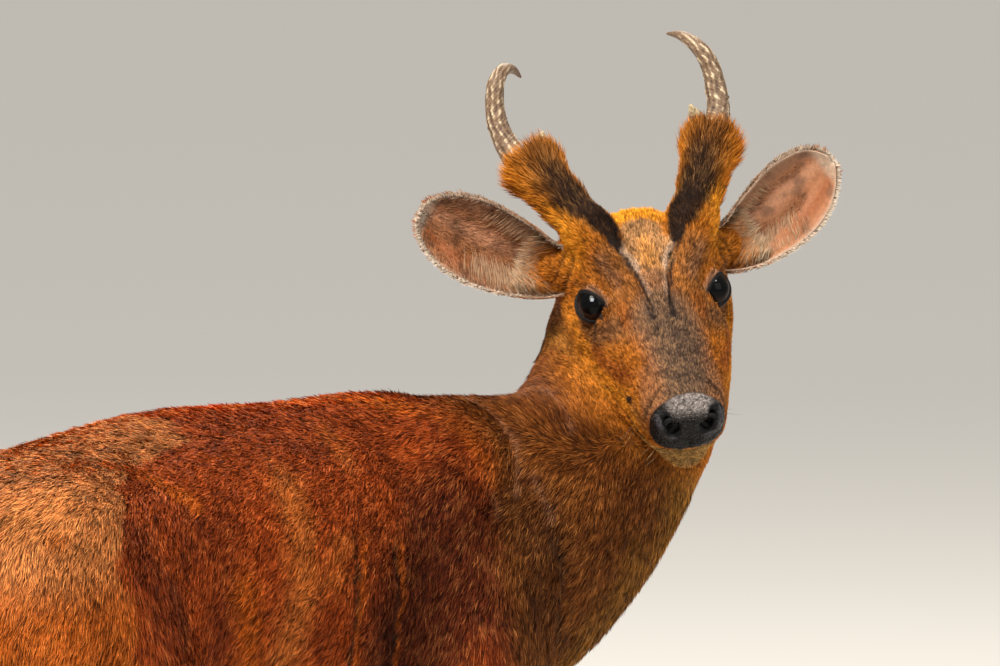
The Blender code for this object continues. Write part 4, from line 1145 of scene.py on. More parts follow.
# %% [markdown]
# Grooms made of particle hair vanish on export, so the coat is real mesh: each tuft is a thin curved
# blade of three triangles, rooted just under the skin, rising a little and bending back along the
# lie. Roots are scattered over the skin's triangles by area and by how dense each region is. Tufts
# share small cells of the skin that lean them together, as real hair clumps. All of it is done with
# arrays, because half a million operators would take an hour.

# %% Scatter and grow tufts
DENSITY_SCALE = 1.0
COAT_SEED = 29
DARK_HAIRS, PALE_HAIRS = 0.20, 0.12
TUFT_LIMIT = 66000
SPECKLE = 0.0014
TICKED_TIP = paint(206, 152, 84)
triangle = values_of(skin.data.polygons, "vertices", 3, np.int32)
corners = co[triangle]
first_edge, second_edge = corners[:, 1] - corners[:, 0], corners[:, 2] - corners[:, 0]
triangle_area = 0.5 * np.linalg.norm(np.cross(first_edge, second_edge), axis=1)


def hashed(cells, seed):
    """A repeatable random number from 0 to 1 for each cell of a grid."""
    value = np.sin(cells @ np.array([12.9898, 78.233, 37.719]) + seed * 4.137) * 43758.5453
    return value - np.floor(value)


def scattered(amount, rng):
    """Root places over the skin. amount is tufts for each square metre, for every point of the skin."""
    expected = triangle_area * amount[triangle].mean(axis=1) * DENSITY_SCALE
    count = np.floor(expected + rng.random(len(expected))).astype(int)
    picked = np.repeat(np.arange(len(triangle)), count)
    u, v = rng.random(len(picked)), rng.random(len(picked))
    over = u + v > 1
    u[over], v[over] = 1 - u[over], 1 - v[over]
    share = np.stack([1 - u - v, u, v], axis=1)
    return picked, share


def carried(values, picked, share):
    at_corners = values[triangle[picked]]
    if at_corners.ndim == 2:
        return np.sum(at_corners * share, axis=1)
    return np.sum(at_corners * share[:, :, None], axis=1)


def blades(name, root, out, way, length, width, lift, colour, unwrap, material, rng, bend=0.55, sink=0.0004):
    """One mesh of blades. out is the skin's normal, way the lie, lift how high the tip stands."""
    count = len(root)
    side = np.cross(way, out)
    roll = rng.normal(0, 0.42, count)[:, None]
    side = side * np.cos(roll) + out * np.sin(roll)
    half = side * (width * 0.5)[:, None]
    base = root - out * sink
    middle_point = root + way * (length * 0.48)[:, None] + out * (lift * bend)[:, None]
    tip = root + way * length[:, None] + out * lift[:, None]
    waist = half * 0.85
    verts = np.stack([base - half, base + half, middle_point + waist, middle_point - waist, tip], axis=1)
    mesh = bpy.data.meshes.new(name)
    mesh.vertices.add(count * 5)
    mesh.vertices.foreach_set("co", verts.astype(np.float32).ravel())
    first = np.arange(count)[:, None] * 5
    loops = (first + np.array([0, 1, 2, 3, 3, 2, 4])).ravel().astype(np.int32)
    mesh.loops.add(len(loops))
    mesh.loops.foreach_set("vertex_index", loops)
    starts = (np.arange(count)[:, None] * 7 + np.array([0, 4])).ravel().astype(np.int32)
    mesh.polygons.add(count * 2)
    mesh.polygons.foreach_set("loop_start", starts)
    mesh.update(calc_edges=True)
    patch = np.array([(-1, -1), (1, -1), (1, 0), (-1, 0), (-1, 0), (1, 0), (0, 1)]) * (0.0015, 0.0015)
    uv = (unwrap[:, None, :] + patch).astype(np.float32)
    mesh.uv_layers.new(name="OFBake").data.foreach_set("uv", uv.ravel())
    obj = linked(name, mesh)
    shade = np.array([0.40, 0.40, 0.92, 0.92, 1.28])
    tones = (colour[:, None, :] * shade[None, :, None]).reshape(-1, 3)
    paint_points(obj, np.clip(tones, 0, 1))
    mesh.shade_smooth()
    mesh.materials.append(material)
    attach(obj, "root")
    return obj


def fur_material(name, roughness, specular, sheen):
    material, _, _, shader, _ = coated_material(name, roughness, specular, 260, 3, 0.82, 1.18)
    shader.inputs["Sheen Weight"].default_value = sheen
    shader.inputs["Sheen Roughness"].default_value = 0.4
    return material


body_fur = fur_material("body fur", 0.60, 0.12, 0.0)
face_fur = fur_material("face fur", 0.65, 0.10, 0.0)


def unwrapped(along, angle, low, high):
    """Places on a sheet rolled off the skin: round it one way and along it the other."""
    u = 0.01 + 0.98 * (angle + math.pi) / (2 * math.pi)
    v = 0.01 + 0.98 * np.clip((along - low) / (high - low), 0, 1)
    return np.stack([u, v], axis=1)


seen = smoothstep(-0.15, 0.35, normal @ np.array(camera_back))
seen *= np.maximum(parts["head"], smoothstep(0.32, 0.37, co[:, 2]))
skin_values = {
    "length": blended(
        parts, 0.0105, neck=0.0092, head=0.0042, muzzle=0.0028, pedicel=0.0105, leg=0.0080, tail=0.0240,
    ),
    "width": blended(
        parts, 0.00062, neck=0.00058, head=0.00036, muzzle=0.00032, pedicel=0.00052, leg=0.00085, tail=0.001,
    ),
    "lift": blended(
        parts, 0.0034, neck=0.0032, head=0.0015, muzzle=0.0008, pedicel=0.0042, leg=0.0019, tail=0.0046,
    ),
    "amount": blended(
        parts, 1.10e6, neck=1.15e6, head=3.0e6, muzzle=3.6e6, pedicel=1.7e6, leg=4.0e5, tail=5.0e5,
    ),
}
FAR_AMOUNT, FAR_WIDTH, FAR_LENGTH = 0.24, 2.0, 1.30
skin_values["amount"] *= FAR_AMOUNT + (1 - FAR_AMOUNT) * seen
skin_values["width"] *= FAR_WIDTH + (1 - FAR_WIDTH) * seen
skin_values["length"] *= FAR_LENGTH + (1 - FAR_LENGTH) * seen
cap = parts["pedicel"] * smoothstep(0.45, 0.85, np.sum(normal * unit(pedicel_lie), axis=1))
collar = parts["pedicel"] * smoothstep(0.62, 0.92, parts["share"]) * (1 - cap)
skin_values["length"] *= 1 + 0.45 * collar - 0.68 * cap
skin_values["lift"] *= 1 + 0.60 * collar - 0.20 * cap
CROWN = [(-0.062, 0, 0.034), (-0.050, 0, 0.038)]
crown = smoothstep(0.028, 0.012, distance_to_line(to_head(co), CROWN)[0]) * parts["head"]
skin_values["lift"] *= 1 + 1.2 * crown
skin_values = {key: around.soften(value, 8) for key, value in skin_values.items()}
from_gland = distance_to_line(folded(place - (0, MIDLINE, 0)), GLAND)[0]
in_groove = smoothstep(0.0027, 0.0017, from_gland)
on_wart = smoothstep(0.0032, 0.0020, distance_to_line(place, [WART_ON_SKIN])[0])
bare = np.clip(pad + hole + mouth + in_groove + on_wart + smoothstep(0.0036, 0.0022, edge) * lid_close, 0, 1)
bare = np.maximum(bare, smoothstep(0.030, 0.022, co[:, 2]))
skin_values["amount"] *= 1 - bare
near_lid = smoothstep(0.012, 0.003, edge) * lid_close
near_groove = smoothstep(0.007, 0.003, from_gland)
for key in ("length", "lift"):
    skin_values[key] *= 1 - np.maximum(0.55 * near_lid, 0.68 * near_groove)
lying = unit(lie)


def grow(name, chosen, along, angle, material, seed):
    """Grows the coat where chosen is 1, as one piece."""
    rng = np.random.default_rng(COAT_SEED + seed)
    picked, share = scattered(skin_values["amount"] * chosen, rng)
    if len(picked) > TUFT_LIMIT:
        print(name, "had", len(picked), "roots and is thinned")
        kept = rng.permutation(len(picked))[:TUFT_LIMIT]
        picked, share = picked[kept], share[kept]
    root = carried(co, picked, share)
    out = unit(carried(normal, picked, share))
    way = flattened(carried(lying, picked, share), out)
    length, width, lift = (carried(skin_values[key], picked, share) for key in ("length", "width", "lift"))
    cell_size = np.clip(length * 0.5, 0.0018, 0.006).round(4)[:, None]
    cells = np.floor(root / cell_size + 0.5 * wandering(root, 0.03, 5)[:, None])
    lean = (hashed(cells, 1) - 0.5)[:, None] * 0.50 + rng.normal(0, 0.15, (len(root), 1))
    way = unit(way + np.cross(out, way) * (lean + 0.16 * wandering(root, 0.035, 6)[:, None]))
    length = length * rng.uniform(0.75, 1.2, len(root)) * (0.9 + 0.2 * hashed(cells, 2))
    lift = lift * rng.uniform(0.45, 1.15, len(root)) * (0.65 + 0.6 * hashed(cells, 3))
    width = width * rng.uniform(0.75, 1.2, len(root))
    colour = markings(root)
    tone = 1.08 + 0.32 * rng.normal(size=len(root)) + 0.60 * (hashed(cells, 4) - 0.5)
    tone += 0.16 * wandering(root, 0.05, 7) + 0.22 * wandering(root, 0.012, 8)
    dark = rng.random(len(root)) < DARK_HAIRS
    pale = rng.random(len(root)) < PALE_HAIRS
    on_head = head_amount(root)
    tone += on_head * (1.2 * (hashed(np.floor(root / SPECKLE), 5) - 0.5) + 0.2 * wandering(root, 0.004, 9))
    tone = np.clip(tone, 0.35, 1.8) * np.where(dark, 0.35, 1) * np.where(pale, 1.45, 1)
    colour = colour * tone[:, None]
    ticked = smoothstep(0.02, 0.09, colour.max(axis=1)) * smoothstep(1.15, 2.1, tone)
    colour = mixed(colour, TICKED_TIP, 0.30 * ticked)
    along_root, angle_root = carried(along, picked, share), carried(angle, picked, share)
    sheet = unwrapped(along_root, angle_root, along_root.min(), along_root.max() + 1e-6)
    made = blades(name, root, out, way, length, width, lift, colour, sheet, material, rng)
    print(name, len(root), "tufts,", len(root) * 3, "triangles")
    return made


# %% [markdown]
# One piece of coat may hold 66,000 tufts, so the body is shared out among several, told apart by
# where the skin lies. For its bake map each piece is unrolled by an angle and a length: the trunk,
# the tail and the legs go round the spine, the head and the pedicels round the head's own axis, and
# the neck round its own middle.

# %% The coat, region by region
body_place, head_place = to_body(co), to_head(co)
round_trunk = np.arctan2(body_place[:, 1], body_place[:, 2] - 0.43)
round_head = np.arctan2(head_place[:, 1], head_place[:, 2] + 0.01)
neck_middle = np.array([0.300, -0.066, 0.470]) + body_at
from_neck = co - neck_middle
round_neck = np.arctan2(from_neck @ np.array([0.35, -0.94, 0]), from_neck @ np.array([0.5, 0.2, 0.8]))
is_head = parts["head"] > 0.5
is_pedicel = is_head & (parts["pedicel"] > 0.4)
is_neck = ~is_head & (parts["neck"] > 0.5)
is_tail = ~is_head & ~is_neck & (parts["tail"] > 0.5)
is_leg = ~is_head & ~is_neck & ~is_tail & (body_place[:, 2] < 0.285)
is_trunk = ~(is_head | is_neck | is_tail | is_leg)
left = body_place[:, 1] > 0
along_body, low_face = body_place[:, 0], head_place[:, 2] < 0.012
COAT_PIECES = [
    ("coat_neck_near", is_neck & (seen > 0.5), co[:, 2], round_neck, body_fur),
    ("coat_neck_far", is_neck & (seen <= 0.5), co[:, 2], round_neck, body_fur),
    ("coat_pedicels", is_pedicel, parts["share"], round_head, face_fur),
    ("coat_legs_fore", is_leg & (along_body > 0), body_place[:, 2], round_trunk, body_fur),
    ("coat_legs_hind", is_leg & (along_body <= 0), body_place[:, 2], round_trunk, body_fur),
    ("coat_tail", is_tail, body_place[:, 2], round_trunk, body_fur),
]
for name, low, high in (("fore", 0.05, 1), ("middle", -0.17, 0.05), ("hind", -1, -0.17)):
    here = is_trunk & (along_body > low) & (along_body <= high)
    COAT_PIECES.append((f"coat_trunk_right_{name}", here & ~left, along_body, round_trunk, body_fur))
    COAT_PIECES.append((f"coat_trunk_left_{name}", here & left, along_body, round_trunk, body_fur))
for name, half in (("right", head_place[:, 1] <= 0), ("left", head_place[:, 1] > 0)):
    face = is_head & ~is_pedicel & half
    COAT_PIECES.append((f"coat_face_{name}", face & low_face, head_place[:, 0], round_head, face_fur))
    COAT_PIECES.append((f"coat_brow_{name}", face & ~low_face, head_place[:, 0], round_head, face_fur))
coat_total = 0
for seed, (name, chosen, along, angle, material) in enumerate(COAT_PIECES):
    made = grow(name, chosen.astype(float), along, angle, material, seed)
    coat_total += len(made.data.vertices) * 3 // 5
print("the coat has", coat_total, "triangles")

# %% [markdown]
# A deer's eye is nearly black, a dark brown iris round a wide pupil under a clear wet cornea. A
# sphere with a slight bulge in front, painted by the angle from where it looks, and a clear coat on
# the shader give the deep gloss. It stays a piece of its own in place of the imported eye.

# %% Eyes
IRIS = paint(30, 16, 10)
PUPIL_AND_SHADE = paint(3, 3, 3)
eye_glass, _, _, shader, _ = coated_material("eye", 0.05, 0.02, 1400, 2, 0.7, 1.3)
shader.inputs["Coat Weight"].default_value = 0.24
shader.inputs["Coat IOR"].default_value = 1.34
shader.inputs["Coat Roughness"].default_value = 0.02
for name, side in (("left", 1), ("right", -1)):
    flip = np.array([1, side, 1])
    bm = bmesh.new()
    bmesh.ops.create_uvsphere(bm, u_segments=56, v_segments=40, radius=EYE_RADIUS * HEAD_SIZE)
    eye = mesh_object(f"eyeball_{name}", bm)
    looks = (HEAD_AXES @ (EYE_LOOKS * flip))
    way = unit(points_of(eye))
    facing = np.clip(way @ looks, -1, 1)
    bulge = 1 + 0.035 * np.exp(-((np.arccos(facing) / 0.55) ** 2))
    put_points(eye, way * (EYE_RADIUS * HEAD_SIZE * bulge)[:, None] + from_head([EYE_AT * flip]))
    along = way @ (HEAD_AXES @ (EYE_ALONG * flip))
    rise = way @ (HEAD_AXES @ (EYE_RISE * flip))
    in_pupil = smoothstep(1.0, 0.8, np.hypot(along / 0.55, rise / 0.40))
    # painted shade: the iris turns black towards its top and stays brown only low down
    ring = mixed(np.tile(IRIS, (len(way), 1)), PUPIL_AND_SHADE, smoothstep(-0.30, 0.10, rise))
    ring = mixed(ring, PUPIL_AND_SHADE, in_pupil)
    ring = mixed(ring, PUPIL_AND_SHADE, smoothstep(0.68, 0.80, np.hypot(along, rise)))
    paint_points(eye, ring)
    eye.data.materials.append(eye_glass)
    eye.data.shade_smooth()
    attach(eye, "root")
    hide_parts(f"eye_{name}")
    wet_eyes.objects.link(eye)
print("eyes", round(EYE_RADIUS * HEAD_SIZE * 2000, 1), "mm across")

# %% [markdown]
# Lashes and whiskers are single stiff hairs, so they use the same blades, long and very thin. Lashes
# stand along the edge of the upper lid and sweep outwards. Whiskers spread from the lips and chin.

# %% Lashes and whiskers
stiff_hair = fur_material("stiff hair", 0.40, 0.4, 0.0)
rng = np.random.default_rng(5)
LASHES_PER_EYE, WHISKERS_PER_SIDE = 70, 7
LASH_COLOUR, WHISKER_PALE, WHISKER_DARK = paint(24, 16, 14), paint(214, 190, 150), paint(50, 36, 28)
TO_OUTER_CORNER = -EYE_ALONG * np.sign(EYE_ALONG[0])
hair = {key: [] for key in ("root", "out", "way", "length", "width", "lift", "colour")}


def add_hair(**values):
    for key, value in values.items():
        hair[key].append(value)


for side in SIDES:
    flip = np.array([1, side, 1])
    for share in np.linspace(-0.96, 0.92, LASHES_PER_EYE):
        across = share + rng.normal(0, 0.02)
        upwards = (max(1 - across**2, 0.0) ** LID_ARCH * SLIT_UP + 0.0006) / EYE_RADIUS
        sideways = across * SLIT_HALF / EYE_RADIUS
        forwards = math.sqrt(max(1 - sideways**2 - upwards**2, 0.04))
        way = unit(EYE_LOOKS * forwards + EYE_ALONG * sideways + EYE_RISE * upwards)
        outer = max(-across if EYE_ALONG[0] > 0 else across, 0)
        sweep = way * 0.55 + EYE_RISE * 0.45 + TO_OUTER_CORNER * (0.15 + 0.7 * outer)
        sweep = unit(sweep + rng.normal(0, 0.08, 3))
        add_hair(
            root=from_head([(EYE_AT + way * (EYE_RADIUS + 0.0010)) * flip])[0],
            out=HEAD_AXES @ (unit(EYE_RISE + way) * flip), way=HEAD_AXES @ (sweep * flip),
            length=rng.uniform(0.004, 0.0075) * (0.7 + 1.3 * outer**2), width=0.00032, lift=0.0012,
            colour=LASH_COLOUR,
        )
    for _ in range(WHISKERS_PER_SIDE):
        start = np.array([rng.uniform(0.085, 0.120), 0, rng.uniform(-0.044, -0.012)])
        start[1] = 0.034 - 0.32 * max(start[0] - 0.095, 0) - 0.25 * max(-start[2] - 0.028, 0)
        sweep = unit(np.array([0.25, 0.85, -0.40]) + rng.normal(0, 0.22, 3))
        add_hair(
            root=from_head([(start - (0, 0.003, 0)) * flip])[0],
            out=HEAD_AXES @ (np.array([0.3, 0, -1.0]) * flip), way=HEAD_AXES @ (sweep * flip),
            length=rng.uniform(0.010, 0.020), width=0.00022, lift=rng.uniform(0.001, 0.004),
            colour=WHISKER_PALE if rng.random() < 0.7 else WHISKER_DARK,
        )
hair = {key: np.array(value, float) for key, value in hair.items()}
hair_sheet = unwrapped(hair["root"][:, 2], np.linspace(-3, 3, len(hair["root"])), 0.4, 0.7)
hair["out"] = unit(hair["out"])
blades("lashes_and_whiskers", **hair, unwrap=hair_sheet, material=stiff_hair, rng=rng)
print(len(hair["root"]), "lashes and whiskers")

# %% [markdown]
# Each ear is a leaf rolled into a cup: wide and open at the tip, almost a tube where it leaves the
# head. A flat bmesh grid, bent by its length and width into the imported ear's own curve, gives a clean
# sheet, solidify gives it a wall, and a few long ridges are the cartilage under the skin.

# %% Ears
EAR_WIDTH, EAR_SHELL = 0.059, 0.0016
EAR_LINE = [(-0.046, 0.036, -0.006), (-0.045, 0.068, -0.002), (-0.064, 0.112, 0.012), (-0.088, 0.152, 0.026)]
EAR_FACES = unit(np.array([0.74, 0.20, 0.62]))
EAR_SHARES = (0, 0.12, 0.25, 0.40, 0.55, 0.70, 0.82, 0.91, 0.97, 1)
EAR_WIDTHS = (0.42, 0.50, 0.68, 0.88, 0.99, 1.00, 0.88, 0.68, 0.42, 0.14)
EAR_CURLS = (100, 98, 84, 66, 54, 46, 40, 34, 30, 28)


def smooth_rows(rows, per_span):
    """Rows of numbers, with a Catmull-Rom curve run through each column."""
    keys = np.array(rows, float)
    ends = np.vstack([2 * keys[0] - keys[1], keys, 2 * keys[-1] - keys[-2]])
    made = []
    for a, b, c, d in zip(ends, ends[1:], ends[2:], ends[3:]):
        bend, twist = 2 * a - 5 * b + 4 * c - d, 3 * b - a - 3 * c + d
        for t in np.arange(per_span) / per_span:
            made.append(b + 0.5 * ((c - a) * t + bend * t**2 + twist * t**3))
    return np.array([*made, keys[-1]])


ear_path = smooth_rows(EAR_LINE, 20)
ear_gone = np.concatenate([[0], np.cumsum(np.linalg.norm(np.diff(ear_path, axis=0), axis=1))])
ear_rows = smooth_rows(list(zip(EAR_SHARES, EAR_WIDTHS, EAR_CURLS)), 6)


def ear_frame(share):
    """Where each share of the ear's length lies, its three ways, its radius and its bend."""
    gone = share * ear_gone[-1]
    here, ahead, behind = (between_points(gone + step, ear_gone, ear_path) for step in (0, 0.004, -0.004))
    along = unit(ahead - behind)
    out = unit(EAR_FACES - along * (along @ EAR_FACES)[:, None])
    width = np.interp(share, ear_rows[:, 0], ear_rows[:, 1])
    bend = np.radians(np.interp(share, ear_rows[:, 0], ear_rows[:, 2]))
    radius = EAR_WIDTH * 0.5 * width / np.sin(np.minimum(bend, math.pi / 2))
    return here, along, out, np.cross(along, out), radius, bend


def ear_place(share, s, raised):
    """A place on the left ear, raised so far towards its inside, with the ways in and along."""
    here, along, out, across, radius, bend = ear_frame(share)
    inward = out * np.cos(s * bend)[:, None] - across * np.sin(s * bend)[:, None]
    place = here + out * (radius * 0.7)[:, None] - inward * (radius - raised)[:, None]
    return place, inward, along


def ear_ridges(share, s):
    fade = smoothstep(0.05, 0.30, share) * smoothstep(1.0, 0.70, share)
    cartilage = 0.0009 * fade * np.cos(s * 9.5 + 0.6) * smoothstep(1.0, 0.6, np.abs(s))
    return cartilage + 0.0004 * np.sin(share * 23 + s * 4)


def ear_paint(share, s):
    colour = np.tile(paint(168, 112, 76), (len(share), 1))
    pale_streak = smoothstep(0.40, 0.0, np.abs(s + 0.15)) * smoothstep(0.25, 0.6, share)
    front = smoothstep(0.28, 0.0, np.abs(s - 0.60)) * smoothstep(0.35, 0.7, share)
    deep = smoothstep(0.5, 0.1, np.abs(s)) * smoothstep(0.45, 0.1, share)
    flat = np.stack([share * 0.1, s * 0.03, 0 * s], axis=1)
    for patch, amount in (
        (paint(194, 140, 106), 0.8 * pale_streak),
        (paint(150, 84, 44), 0.75 * front),
        (paint(168, 88, 76), 0.6 * deep),
        (paint(110, 84, 66), 0.6 * smoothstep(0.45, 0.75, -s)),
        (paint(86, 60, 44), 0.5 * smoothstep(0.2, 0.8, wandering(flat, 0.012, 12))),
        (paint(204, 182, 160), 0.8 * smoothstep(0.92, 0.98, np.maximum(np.abs(s), share))),
    ):
        colour = mixed(colour, patch, amount)
    return colour


ear_skin, nodes, links, shader, freckles = coated_material("ear skin", 0.60, 0.3, 420, 4, 0.80, 1.12)
links.new(bump_node(nodes, links, freckles.outputs["Fac"], 0.35, 0.0004), shader.inputs["Normal"])
shader.inputs["Subsurface Weight"].default_value = 0.15
shader.inputs["Subsurface Radius"].default_value = (0.004, 0.0015, 0.001)

ear_fur_tufts = {key: [] for key in ("root", "out", "way", "length", "width", "lift", "colour", "unwrap")}
ON_BACK, ON_INSIDE = -EAR_SHELL * 0.5, EAR_SHELL * 0.5
BACK_TUFTS, INNER_TUFTS, LONG_TUFTS, CUFF_TUFTS, RIM_TUFTS = (
    int(number * DENSITY_SCALE) for number in (9000, 8000, 1900, 2600, 3600)
)


def add_ear_fur(flip, share, s, raised, outward, sway, lengths, width, lifts, colour):
    """Tufts on one face of an ear, with their range of lengths and lifts.

    outward is 1 on the inside and -1 on the back. sway leans them across the ear.
    """
    count = len(share)
    length, lift = rng.uniform(*lengths, count), rng.uniform(*lifts, count)
    place, inward, along = ear_place(share, s, raised)
    across = np.cross(along, inward)
    way = unit(along + across * sway[:, None])
    tone = np.clip(1 + 0.14 * rng.normal(size=count), 0.6, 1.5)[:, None]
    sheet_across = 0.02 + 0.47 * (s + 1) / 2 + (0.5 if flip[1] > 0 else 0)
    sheet_up = 0.02 + 0.46 * share + (0.5 if outward > 0 else 0)
    for key, value in (
        ("root", from_head(place * flip)), ("out", unit((inward * outward * flip) @ HEAD_AXES.T)),
        ("way", unit((way * flip) @ HEAD_AXES.T)), ("length", length), ("width", np.full(count, width)),
        ("lift", lift), ("colour", colour * tone), ("unwrap", np.stack([sheet_across, sheet_up], axis=1)),
    ):
        ear_fur_tufts[key].append(value)


for name, side in (("left", 1), ("right", -1)):
    flip = np.array([1, side, 1])
    bm = bmesh.new()
    share_layer = bm.verts.layers.float.new("share")
    across_layer = bm.verts.layers.float.new("across")
    bmesh.ops.create_grid(bm, x_segments=60, y_segments=34, size=1)
    for vert in bm.verts:
        vert[share_layer], vert[across_layer] = (vert.co.x + 1) / 2, vert.co.y
    shares = np.array([vert[share_layer] for vert in bm.verts])
    acrosses = np.array([vert[across_layer] for vert in bm.verts])
    place, inward, along = ear_place(shares, acrosses, ear_ridges(shares, acrosses))
    for vert, point in zip(bm.verts, from_head(place * flip)):
        vert.co = point
    bmesh.ops.recalc_face_normals(bm, faces=bm.faces)
    bmesh.ops.solidify(bm, geom=bm.faces[:], thickness=EAR_SHELL)
    bmesh.ops.recalc_face_normals(bm, faces=bm.faces)
    ear = mesh_object(f"ear_cup_{name}", bm)
    shares = values_of(ear.data.attributes["share"].data, "value", 1)
    acrosses = values_of(ear.data.attributes["across"].data, "value", 1)
    place, inward, along = ear_place(shares, acrosses, ear_ridges(shares, acrosses))
    inside = np.sum(normals_of(ear) * ((inward * flip) @ HEAD_AXES.T), axis=1) > 0
    colour = np.where(inside[:, None], ear_paint(shares, acrosses), paint(176, 104, 42))
    paint_points(ear, colour)
    ear.data.materials.append(ear_skin)
    ear.data.shade_smooth()
    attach(ear, "root")
    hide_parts(f"ear_{name}")

    count = BACK_TUFTS
    share, s = rng.uniform(0.02, 0.99, count), rng.uniform(-1, 1, count)
    back = np.tile(paint(206, 124, 40), (count, 1))
    back = mixed(back, AGOUTI, 0.6 * smoothstep(0.5, 0.9, share))
    sway = rng.normal(0, 0.18, count)
    add_ear_fur(flip, share, s, ON_BACK, -1, sway, (0.004, 0.007), 0.0006, (0.0006, 0.0016), back)
    count = INNER_TUFTS
    share = rng.uniform(0.02, 0.97, count)
    s = rng.uniform(-0.97, 0.97, count)
    inner = mixed(ear_paint(share, s), paint(96, 62, 40), 0.8 * (rng.random(count) < 0.18))
    sway = -1.2 * s + rng.normal(0, 0.25, count)
    add_ear_fur(flip, share, s, ON_INSIDE, 1, sway, (0.003, 0.006), 0.00035, (0.0004, 0.0012), inner)
    count = LONG_TUFTS
    share = rng.beta(1.5, 2.4, count) * 0.66 + 0.03
    s = np.where(rng.random(count) < 0.62, rng.uniform(0.55, 0.97, count), rng.uniform(-0.97, -0.70, count))
    pale = np.tile(paint(172, 138, 108), (count, 1))
    sway = -2.6 * s + rng.normal(0, 0.2, count)
    add_ear_fur(flip, share, s, ON_INSIDE, 1, sway, (0.010, 0.017), 0.00040, (0.0020, 0.0040), pale)
    count = CUFF_TUFTS
    share = rng.uniform(0.16, 0.36, count)
    s = rng.uniform(-1, 1, count)
    paler = smoothstep(0.20, 0.36, share + rng.normal(0, 0.04, count))
    cuff = mixed(np.tile(paint(196, 118, 36), (count, 1)), paint(196, 170, 140), paler)
    raised = rng.uniform(0.0005, 0.0060, count)
    sway = -0.9 * s + rng.normal(0, 0.25, count)
    add_ear_fur(flip, share, s, raised, 1, sway, (0.007, 0.013), 0.00050, (0.0015, 0.0045), cuff)
    count = RIM_TUFTS
    share = rng.uniform(0.06, 0.995, count)
    s = np.where(rng.random(count) < 0.5, 1, -1) * rng.uniform(0.96, 1.0, count)
    top = rng.random(count) < 0.25
    share = np.where(top, rng.uniform(0.965, 0.998, count), share)
    s = np.where(top, rng.uniform(-1, 1, count), s)
    rim = np.tile(paint(226, 208, 188), (count, 1))
    rim = mixed(rim, paint(90, 66, 52), (rng.random(count) < 0.12).astype(float))
    raised = rng.uniform(-EAR_SHELL, EAR_SHELL, count)
    sway = np.sign(s) * np.where(top, 0.2, 1.6) + rng.normal(0, 0.3, count)
    add_ear_fur(flip, share, s, raised, 1, sway, (0.0022, 0.0042), 0.00042, (-0.0008, 0.0008), rim)
ear_fur_tufts = {key: np.concatenate(value) for key, value in ear_fur_tufts.items()}
blades("coat_ears", **ear_fur_tufts, material=face_fur, rng=rng)
print("ears with", len(ear_fur_tufts["root"]), "tufts")

# %% [markdown]
# An antler is bone: a rough burr and beads at its foot, long grooves up the beam, a smooth worn tip.
# The two antlers differ in the photo, so each has its own rows for the beam and the brow tine, the same
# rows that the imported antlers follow. Tubes are drawn along them, beads are small balls, and a fine
# remesh welds them. Then the grooves are cut by the angle round the beam, and the same number paints
# them: cream on the ridges and brown between.

# %% Antlers
ANTLER_RADIUS = 0.0100
BEAMS = {
    "left": [
        (0.0040, -0.0020, -0.0040, 1.28), (-0.0120, 0.0060, 0.0010, 1.00), (-0.0287, 0.0104, 0.0108, 0.84),
        (-0.0456, 0.0092, 0.0252, 0.74), (-0.0549, 0.0043, 0.0353, 0.65), (-0.0642, -0.0028, 0.0398, 0.52),
        (-0.0755, -0.0092, 0.0364, 0.34), (-0.0850, -0.0159, 0.0301, 0.10),
    ],
    "right": [
        (0.0040, -0.0020, -0.0040, 1.28), (-0.0126, 0.0101, 0.0007, 1.00), (-0.0302, 0.0166, 0.0108, 0.82),
        (-0.0430, 0.0173, 0.0218, 0.73), (-0.0532, 0.0145, 0.0327, 0.66), (-0.0623, 0.0076, 0.0365, 0.50),
        (-0.0696, -0.0011, 0.0290, 0.34), (-0.0723, -0.0080, 0.0174, 0.10),
    ],
}
TINES = {
    "left": [
        (-0.0080, -0.0050, 0.0060, 0.80), (-0.0094, -0.0090, 0.0145, 0.62), (-0.0097, -0.0125, 0.0228, 0.38),
        (-0.0097, -0.0153, 0.0304, 0.08),
    ],
    "right": [
        (-0.0043, -0.0034, 0.0017, 0.80), (-0.0061, -0.0072, 0.0105, 0.62), (-0.0061, -0.0097, 0.0185, 0.38),
        (-0.0058, -0.0106, 0.0262, 0.08),
    ],
}
ANTLER_VOXEL = 0.00065
TUBE_SHARE, BURR_SHARE, BEAM_SHARE = 0.95, 1.0, 0.93
BURR_BEADS, BEAM_BEADS = 20, 46
GROOVES = 9
PEDICEL_END = PEDICEL_ROOT + PEDICEL_WAY * PEDICEL_LENGTH


def tube(bm, rows, sides):
    """Rings along a row of centres and radii, bridged and closed at both ends."""
    points = rows[:, :3]
    loops = []
    for i, row in enumerate(rows):
        way = unit(points[min(i + 1, len(rows) - 1)] - points[max(i - 1, 0)])
        spun = Vector(way).to_track_quat("Z", "Y").to_matrix().to_4x4()
        place = Matrix.Translation(PEDICEL_END + row[:3]) @ spun
        radius = ANTLER_RADIUS * row[3] * TUBE_SHARE
        ring = bmesh.ops.create_circle(bm, segments=sides, radius=radius, matrix=place)["verts"]
        loops.append(list({edge for vert in ring for edge in vert.link_edges}))
    for first, second in zip(loops, loops[1:]):
        bmesh.ops.bridge_loops(bm, edges=first + second)
    for edges in (loops[0], loops[-1]):
        bmesh.ops.contextual_create(bm, geom=edges)


def around_beam(place, line):
    """How far along the beam's line each point lies, and the angle round it."""
    along = distance_to_line(place, line)[1]
    steps = np.linspace(0, 1, len(line))
    centre, ahead, behind = (between_points(along + step, steps, line) for step in (0, 0.02, -0.02))
    out, tangent = place - centre, unit(ahead - behind)
    across = flattened(np.tile([0.0, 1.0, 0.0], (len(place), 1)), tangent)
    turned = np.arctan2(np.sum(out * across, axis=1), np.sum(out * np.cross(tangent, across), axis=1))
    return along, turned


